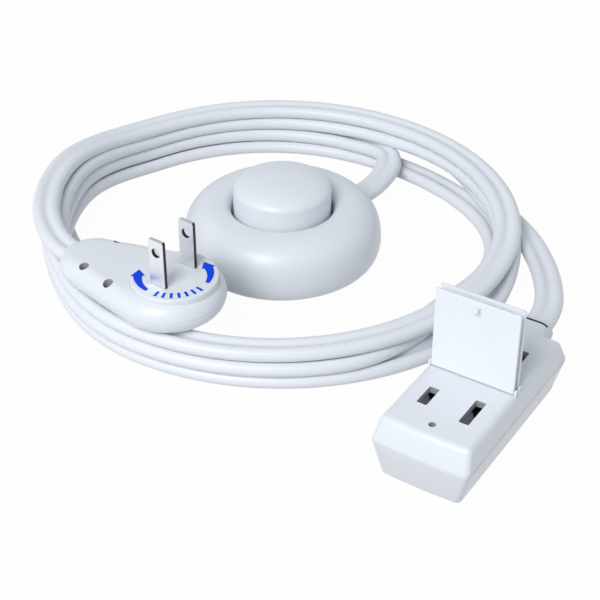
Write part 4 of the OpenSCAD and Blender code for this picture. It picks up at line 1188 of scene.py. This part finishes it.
def drafted_bm(length, width, start_z, end, corner=CORNER):
    """Body from an outline at start_z to its end (length, width, z), all in mm."""
    bm = bmesh.new()
    length += EXTRA_L
    end_length, end_width, end_z = end[0] + EXTRA_L, end[1], end[2]
    bmesh.ops.create_grid(bm, x_segments=1, y_segments=10, size=0.5 * MM,
                          matrix=Matrix.Diagonal((length, width, 1, 1)))
    for vert in bm.verts:
        across = vert.co.y / (width / 2 * MM)
        vert.co.x += (1 if vert.co.x > 0 else -1) * BOW * MM * (1 - across ** 2)
    bmesh.ops.dissolve_faces(bm, faces=bm.faces[:])
    corners = [v for v in bm.verts if abs(abs(v.co.y) - width / 2 * MM) < 0.01 * MM]
    bevelled(bm, corners, corner, 8, "VERTICES")
    bmesh.ops.translate(bm, verts=bm.verts, vec=(0, 0, start_z * MM))
    bm.faces.ensure_lookup_table()
    grown = bmesh.ops.extrude_face_region(bm, geom=[bm.faces[0]])
    face = next(g for g in grown["geom"] if isinstance(g, bmesh.types.BMFace))
    bmesh.ops.scale(bm, verts=face.verts, vec=(end_length / length, end_width / width, 1))
    bmesh.ops.translate(bm, verts=face.verts, vec=(0, 0, (end_z - start_z) * MM))
    bmesh.ops.recalc_face_normals(bm, faces=bm.faces)
    bmesh.ops.translate(bm, verts=bm.verts, vec=(BLOCK_L / 2 * MM, 0, 0))
    return bm


def round_rim(bm, z, width, segments):
    """Bevels the rim of a drafted body at a height in mm."""
    rim = [e for e in bm.edges if all(abs(v.co.z - z * MM) < 0.005 * MM for v in e.verts)
           and abs(e.calc_face_angle(0)) > 0.3]
    bevelled(bm, rim, width, segments)


upper_z, lower_z = PART_Z + PART_GAP, PART_Z - PART_GAP
upper_bm = drafted_bm(BLOCK_L, BLOCK_W, upper_z, (TOP_L, TOP_W, BLOCK_H))
round_rim(upper_bm, BLOCK_H, TOP_EDGE, 6)
round_rim(upper_bm, upper_z, PART_EDGE, 3)
lower_bm = drafted_bm(BLOCK_L, BLOCK_W, lower_z, (BASE_L, BASE_W, 0))
round_rim(lower_bm, 0, FOOT_EDGE, 5)
round_rim(lower_bm, lower_z, PART_EDGE, 3)
walls = 2 * BLOCK_WALL
upper_room = drafted_bm(BLOCK_L - walls, BLOCK_W - walls, PART_Z - ROOM_OVERLAP,
                        (TOP_L - walls, TOP_W - walls, BLOCK_H - ROOF_T), ROOM_CORNER)
lower_room = drafted_bm(BLOCK_L - walls, BLOCK_W - walls, PART_Z + ROOM_OVERLAP,
                        (BASE_L - walls, BASE_W - walls, BLOCK_WALL), ROOM_CORNER)
print("faces of the two bodies:", len(upper_bm.faces), len(lower_bm.faces))

# %% [markdown]
# The top has two pairs of slots, a short and a long one in each, a small hole for each
# lid's snap peg and a shallow groove for the hinge. Each opening is a cutter that is
# taken away from the shell. The walls of the slots, the peg holes and the rooms inside
# are painted with greys as shade: a mid grey in the upper shell, and a near-black in the
# lower shell, because little light gets in there.

# %% Outlet block: slots, holes and shells
SLOT_W, SLOT_SHORT, SLOT_LONG, SLOT_PITCH = 2.9, 7.4, 10.1, 12.7
OUTLETS_X = (15.1, 40.5)
LID_MID_X, LID_PITCH, LID_AXIS_Z, BEAD_R, BEAD_CLEAR = 28.6, 2.2, 18.45, 0.72, 0.15
EAR_Y, EAR_T, EAR_IN = 12.15, 0.6, 0.4
PEG_AT, PEG_R, PEG_FIT = 22, 0.85, 0.12
SLOT_CORNER = 0.3
GROOVE_DEPTH, SLOT_DEPTH, PEG_DEPTH = 4, 5, 4
GLAND_W, GLAND_T, GLAND_Z = 12, 8, 9.6
GLAND_WAY_X, GLAND_WAY_W, GLAND_WAY_T = (BLOCK_L - 6, BLOCK_L + 4), GLAND_W - 1.4, GLAND_T - 1.2
BLOCK_SCREWS_X, BLOCK_SCREW_R, BLOCK_SCREW_L = (9.2, 46.4), 1.9, 2.8


# The slots' walls get the mid grey: painted shade.
def slot_cutters():
    """Cutters for both pairs of slots, their upright edges rounded."""
    cuts = []
    for x in OUTLETS_X:
        for length, side in ((SLOT_SHORT, 1), (SLOT_LONG, -1)):
            bm = block_bm((length, SLOT_W, SLOT_DEPTH), (x, side * SLOT_PITCH / 2, BLOCK_H))
            upright = [e for e in bm.edges if abs(e.verts[0].co.z - e.verts[1].co.z) > MM]
            bevelled(bm, upright, SLOT_CORNER, 3)
            cuts.append(cutter(bm, painted_shade_grey))
    return cuts


bead_room = BEAD_R + BEAD_CLEAR
groove = cutter(block_bm((LID_PITCH + 2 * bead_room, 2 * EAR_Y, GROOVE_DEPTH),
                         (LID_MID_X, 0, LID_AXIS_Z - bead_room + GROOVE_DEPTH / 2)))
peg_places = [(LID_MID_X + side * (LID_PITCH / 2 + PEG_AT), 0, BLOCK_H) for side in (-1, 1)]
# The peg holes' walls get the mid grey: painted shade.
peg_holes = [cutter(rod_bm(PEG_R + PEG_FIT, PEG_DEPTH, place), painted_shade_grey) for place in peg_places]
gland_way = obround_bm([(x, GLAND_WAY_W, GLAND_WAY_T) for x in GLAND_WAY_X])
gland_hole = cutter(moved(gland_way, Matrix.Translation((0, 0, GLAND_Z * MM))))
screw_holes = [cutter(rod_bm(BLOCK_SCREW_R, BLOCK_SCREW_L, (x, 0, 0))) for x in BLOCK_SCREWS_X]
# The upper shell's room gets the mid grey: painted shade.
upper_mesh = carved(mesh_of(upper_bm, "outlet_upper", shell_white),
                    [cutter(upper_room, painted_shade_grey), *slot_cutters(), groove, *peg_holes,
                     gland_hole.copy()])
# The lower shell gets the darker white: painted shade.
lower_mesh = carved(mesh_of(lower_bm, "outlet_lower", base_white_painted_shade),
                    # The room inside gets the near-black: painted shade.
                    [cutter(lower_room, painted_shade_dark), gland_hole, *screw_holes])


def ear_meshes():
    """Low ears at both sides that hold the ends of the hinge pins."""
    meshes = []
    low = BLOCK_H - EAR_IN
    for side in (-1, 1):
        y = side * (EAR_Y + EAR_T / 2)
        meshes.append(cutter(block_bm((LID_PITCH + 2 * BEAD_R, EAR_T, LID_AXIS_Z - low),
                                      (LID_MID_X, y, (LID_AXIS_Z + low) / 2))))
        for end in (-1, 1):
            place = (LID_MID_X + end * LID_PITCH / 2, y, LID_AXIS_Z)
            meshes.append(cutter(rod_bm(BEAD_R, EAR_T, place, "Y", 32)))
    return meshes


upper_mesh = carved(upper_mesh, ear_meshes(), "UNION")
for half_mesh in (upper_mesh, lower_mesh):
    half_mesh.transform(BLOCK_FRAME)
outlet_upper = placed_as_is("outlet_upper", upper_mesh, ("outlet_upper_shell",),
                            sharp=32)
placed_as_is("outlet_lower", lower_mesh, ("outlet_lower_shell",), sharp=32)
print("block size in mm:", [round(d / MM, 1) for d in outlet_upper.dimensions])

# %% [markdown]
# Each lid is a thin flap that snaps shut over one outlet. It has a bead along its hinge
# edge with a bore for the pin, rounded outer corners and a small peg on its inner face.

# %% Outlet block: flip lids
LID_W, LID_H, LID_T, LID_CORNER, LID_EDGE = 24, 24, 0.9, 0.6, 0.2
PIN_R, PIN_CLEAR, PEG_L, PEG_ROUND = 0.4, 0.06, 1.5, 0.35
LID_SET = 0.18  # how far the plate stands off the pin's middle


def lid_mesh():
    """Lid that stands up over its pin, its inner face towards -X."""
    plate = block_bm((LID_T, LID_W, LID_H), (-LID_SET, 0, LID_H / 2))
    corners = [e for e in edges_above(plate, LID_H - 0.1) if reach_x(e) > 0.1 * MM]
    bevelled(plate, corners, LID_CORNER, 6)
    rim = [e for e in plate.edges if reach_x(e) < 0.01 * MM and e.calc_face_angle(0) > 0.5]
    bevelled(plate, rim, LID_EDGE, 3)
    bead = cutter(rod_bm(BEAD_R, LID_W, (0, 0, 0), "Y", 40), lid_white)
    peg_place = (-LID_SET - (LID_T / 2 + PEG_L) / 2, 0, PEG_AT)
    peg_bm = rod_bm(PEG_R, PEG_L + LID_T / 2, peg_place, "X", 32)
    tip_x = -(LID_SET + LID_T / 2 + PEG_L - 0.05) * MM
    bevelled(peg_bm, [e for e in peg_bm.edges if all(v.co.x < tip_x for v in e.verts)], PEG_ROUND, 4)
    bore = cutter(rod_bm(PIN_R + PIN_CLEAR, LID_W + 4, (0, 0, 0), "Y", 24), lid_white)
    whole = carved(mesh_of(plate, "lid", lid_white), [bead, cutter(peg_bm, lid_white)], "UNION")
    return carved(whole, [bore])


for lid_name, node_name, side in (("lid_flap_near", "lid_near", -1), ("lid_flap_far", "lid_far", 1)):
    mesh = lid_mesh()
    turn = Matrix.Rotation(pi if side > 0 else 0, 4, "Z")
    place = Matrix.Translation(Vector((LID_MID_X + side * LID_PITCH / 2, 0, LID_AXIS_Z)) * MM)
    mesh.transform(BLOCK_FRAME @ place @ turn)
    placed(lid_name, mesh, lid_white, (node_name,), node_name, sharp=40)
print("lids stand", LID_H, "mm above their pins")

# %% [markdown]
# The gland is the soft sleeve that keeps the cord from kinking at the block. It is an
# obround body that tapers away from the wall, with a slit across each flat side near
# its end, so that it bends easily. Its sections are loops of edges, bridged one to the
# next, and the last ones turn inward to leave the hole for the cord.

# %% Outlet block: cord gland
GLAND_END = BLOCK_L + 11
GLAND_FOOT, GLAND_GROOVE = BLOCK_L - 5.5, BLOCK_L - 3.6
NECK_W, NECK_T = GLAND_W - 1.6, GLAND_T - 1.4  # where it passes through the wall
BORE_W, BORE_T = 8.6, 4.4
MOUTH_W, MOUTH_T, MOUTH_DEPTH = 8.9, 4.7, 3
SLIT_T, SLIT_W, SLIT_AT, SLIT_Z, SLIT_H = 0.9, 8.4, 1.7, 2.6, 2
gland_sections = [  # x, width, height, in mm
    (GLAND_FOOT, BORE_W, BORE_T), (GLAND_FOOT, GLAND_W, GLAND_T), (GLAND_GROOVE, GLAND_W, GLAND_T),
    (GLAND_GROOVE, NECK_W, NECK_T), (BLOCK_L + 0.5, NECK_W, NECK_T),
    (BLOCK_L + 0.5, GLAND_W - 0.3, GLAND_T - 0.3), (BLOCK_L + 0.8, GLAND_W, GLAND_T),
    (BLOCK_L + 1.4, GLAND_W, GLAND_T), (GLAND_END - 0.4, GLAND_W - 1.0, GLAND_T - 1.0),
    (GLAND_END, GLAND_W - 1.5, GLAND_T - 1.5), (GLAND_END, MOUTH_W, MOUTH_T),
    (GLAND_END - MOUTH_DEPTH, MOUTH_W, MOUTH_T), (GLAND_END - MOUTH_DEPTH, BORE_W, BORE_T),
    (GLAND_FOOT, BORE_W, BORE_T),
]
gland_bm = obround_bm(gland_sections, caps=False)
bmesh.ops.remove_doubles(gland_bm, verts=gland_bm.verts, dist=0.01 * MM)
bmesh.ops.recalc_face_normals(gland_bm, faces=gland_bm.faces)
# The slits' walls are painted near-black: painted shade.
gland_slits = [cutter(block_bm((SLIT_T, SLIT_W, SLIT_H),
                               (GLAND_END - SLIT_AT, 0, side * (SLIT_Z + SLIT_H / 2))), painted_shade_dark)
               for side in (-1, 1)]
gland_mesh = carved(mesh_of(gland_bm, "cord_gland", gland_white), gland_slits)
gland_mesh.transform(BLOCK_FRAME @ Matrix.Translation((0, 0, GLAND_Z * MM)))
placed_as_is("cord_gland", gland_mesh, ("outlet_gland",), sharp=35)
print("gland stands", GLAND_END - BLOCK_L, "mm out of the block")
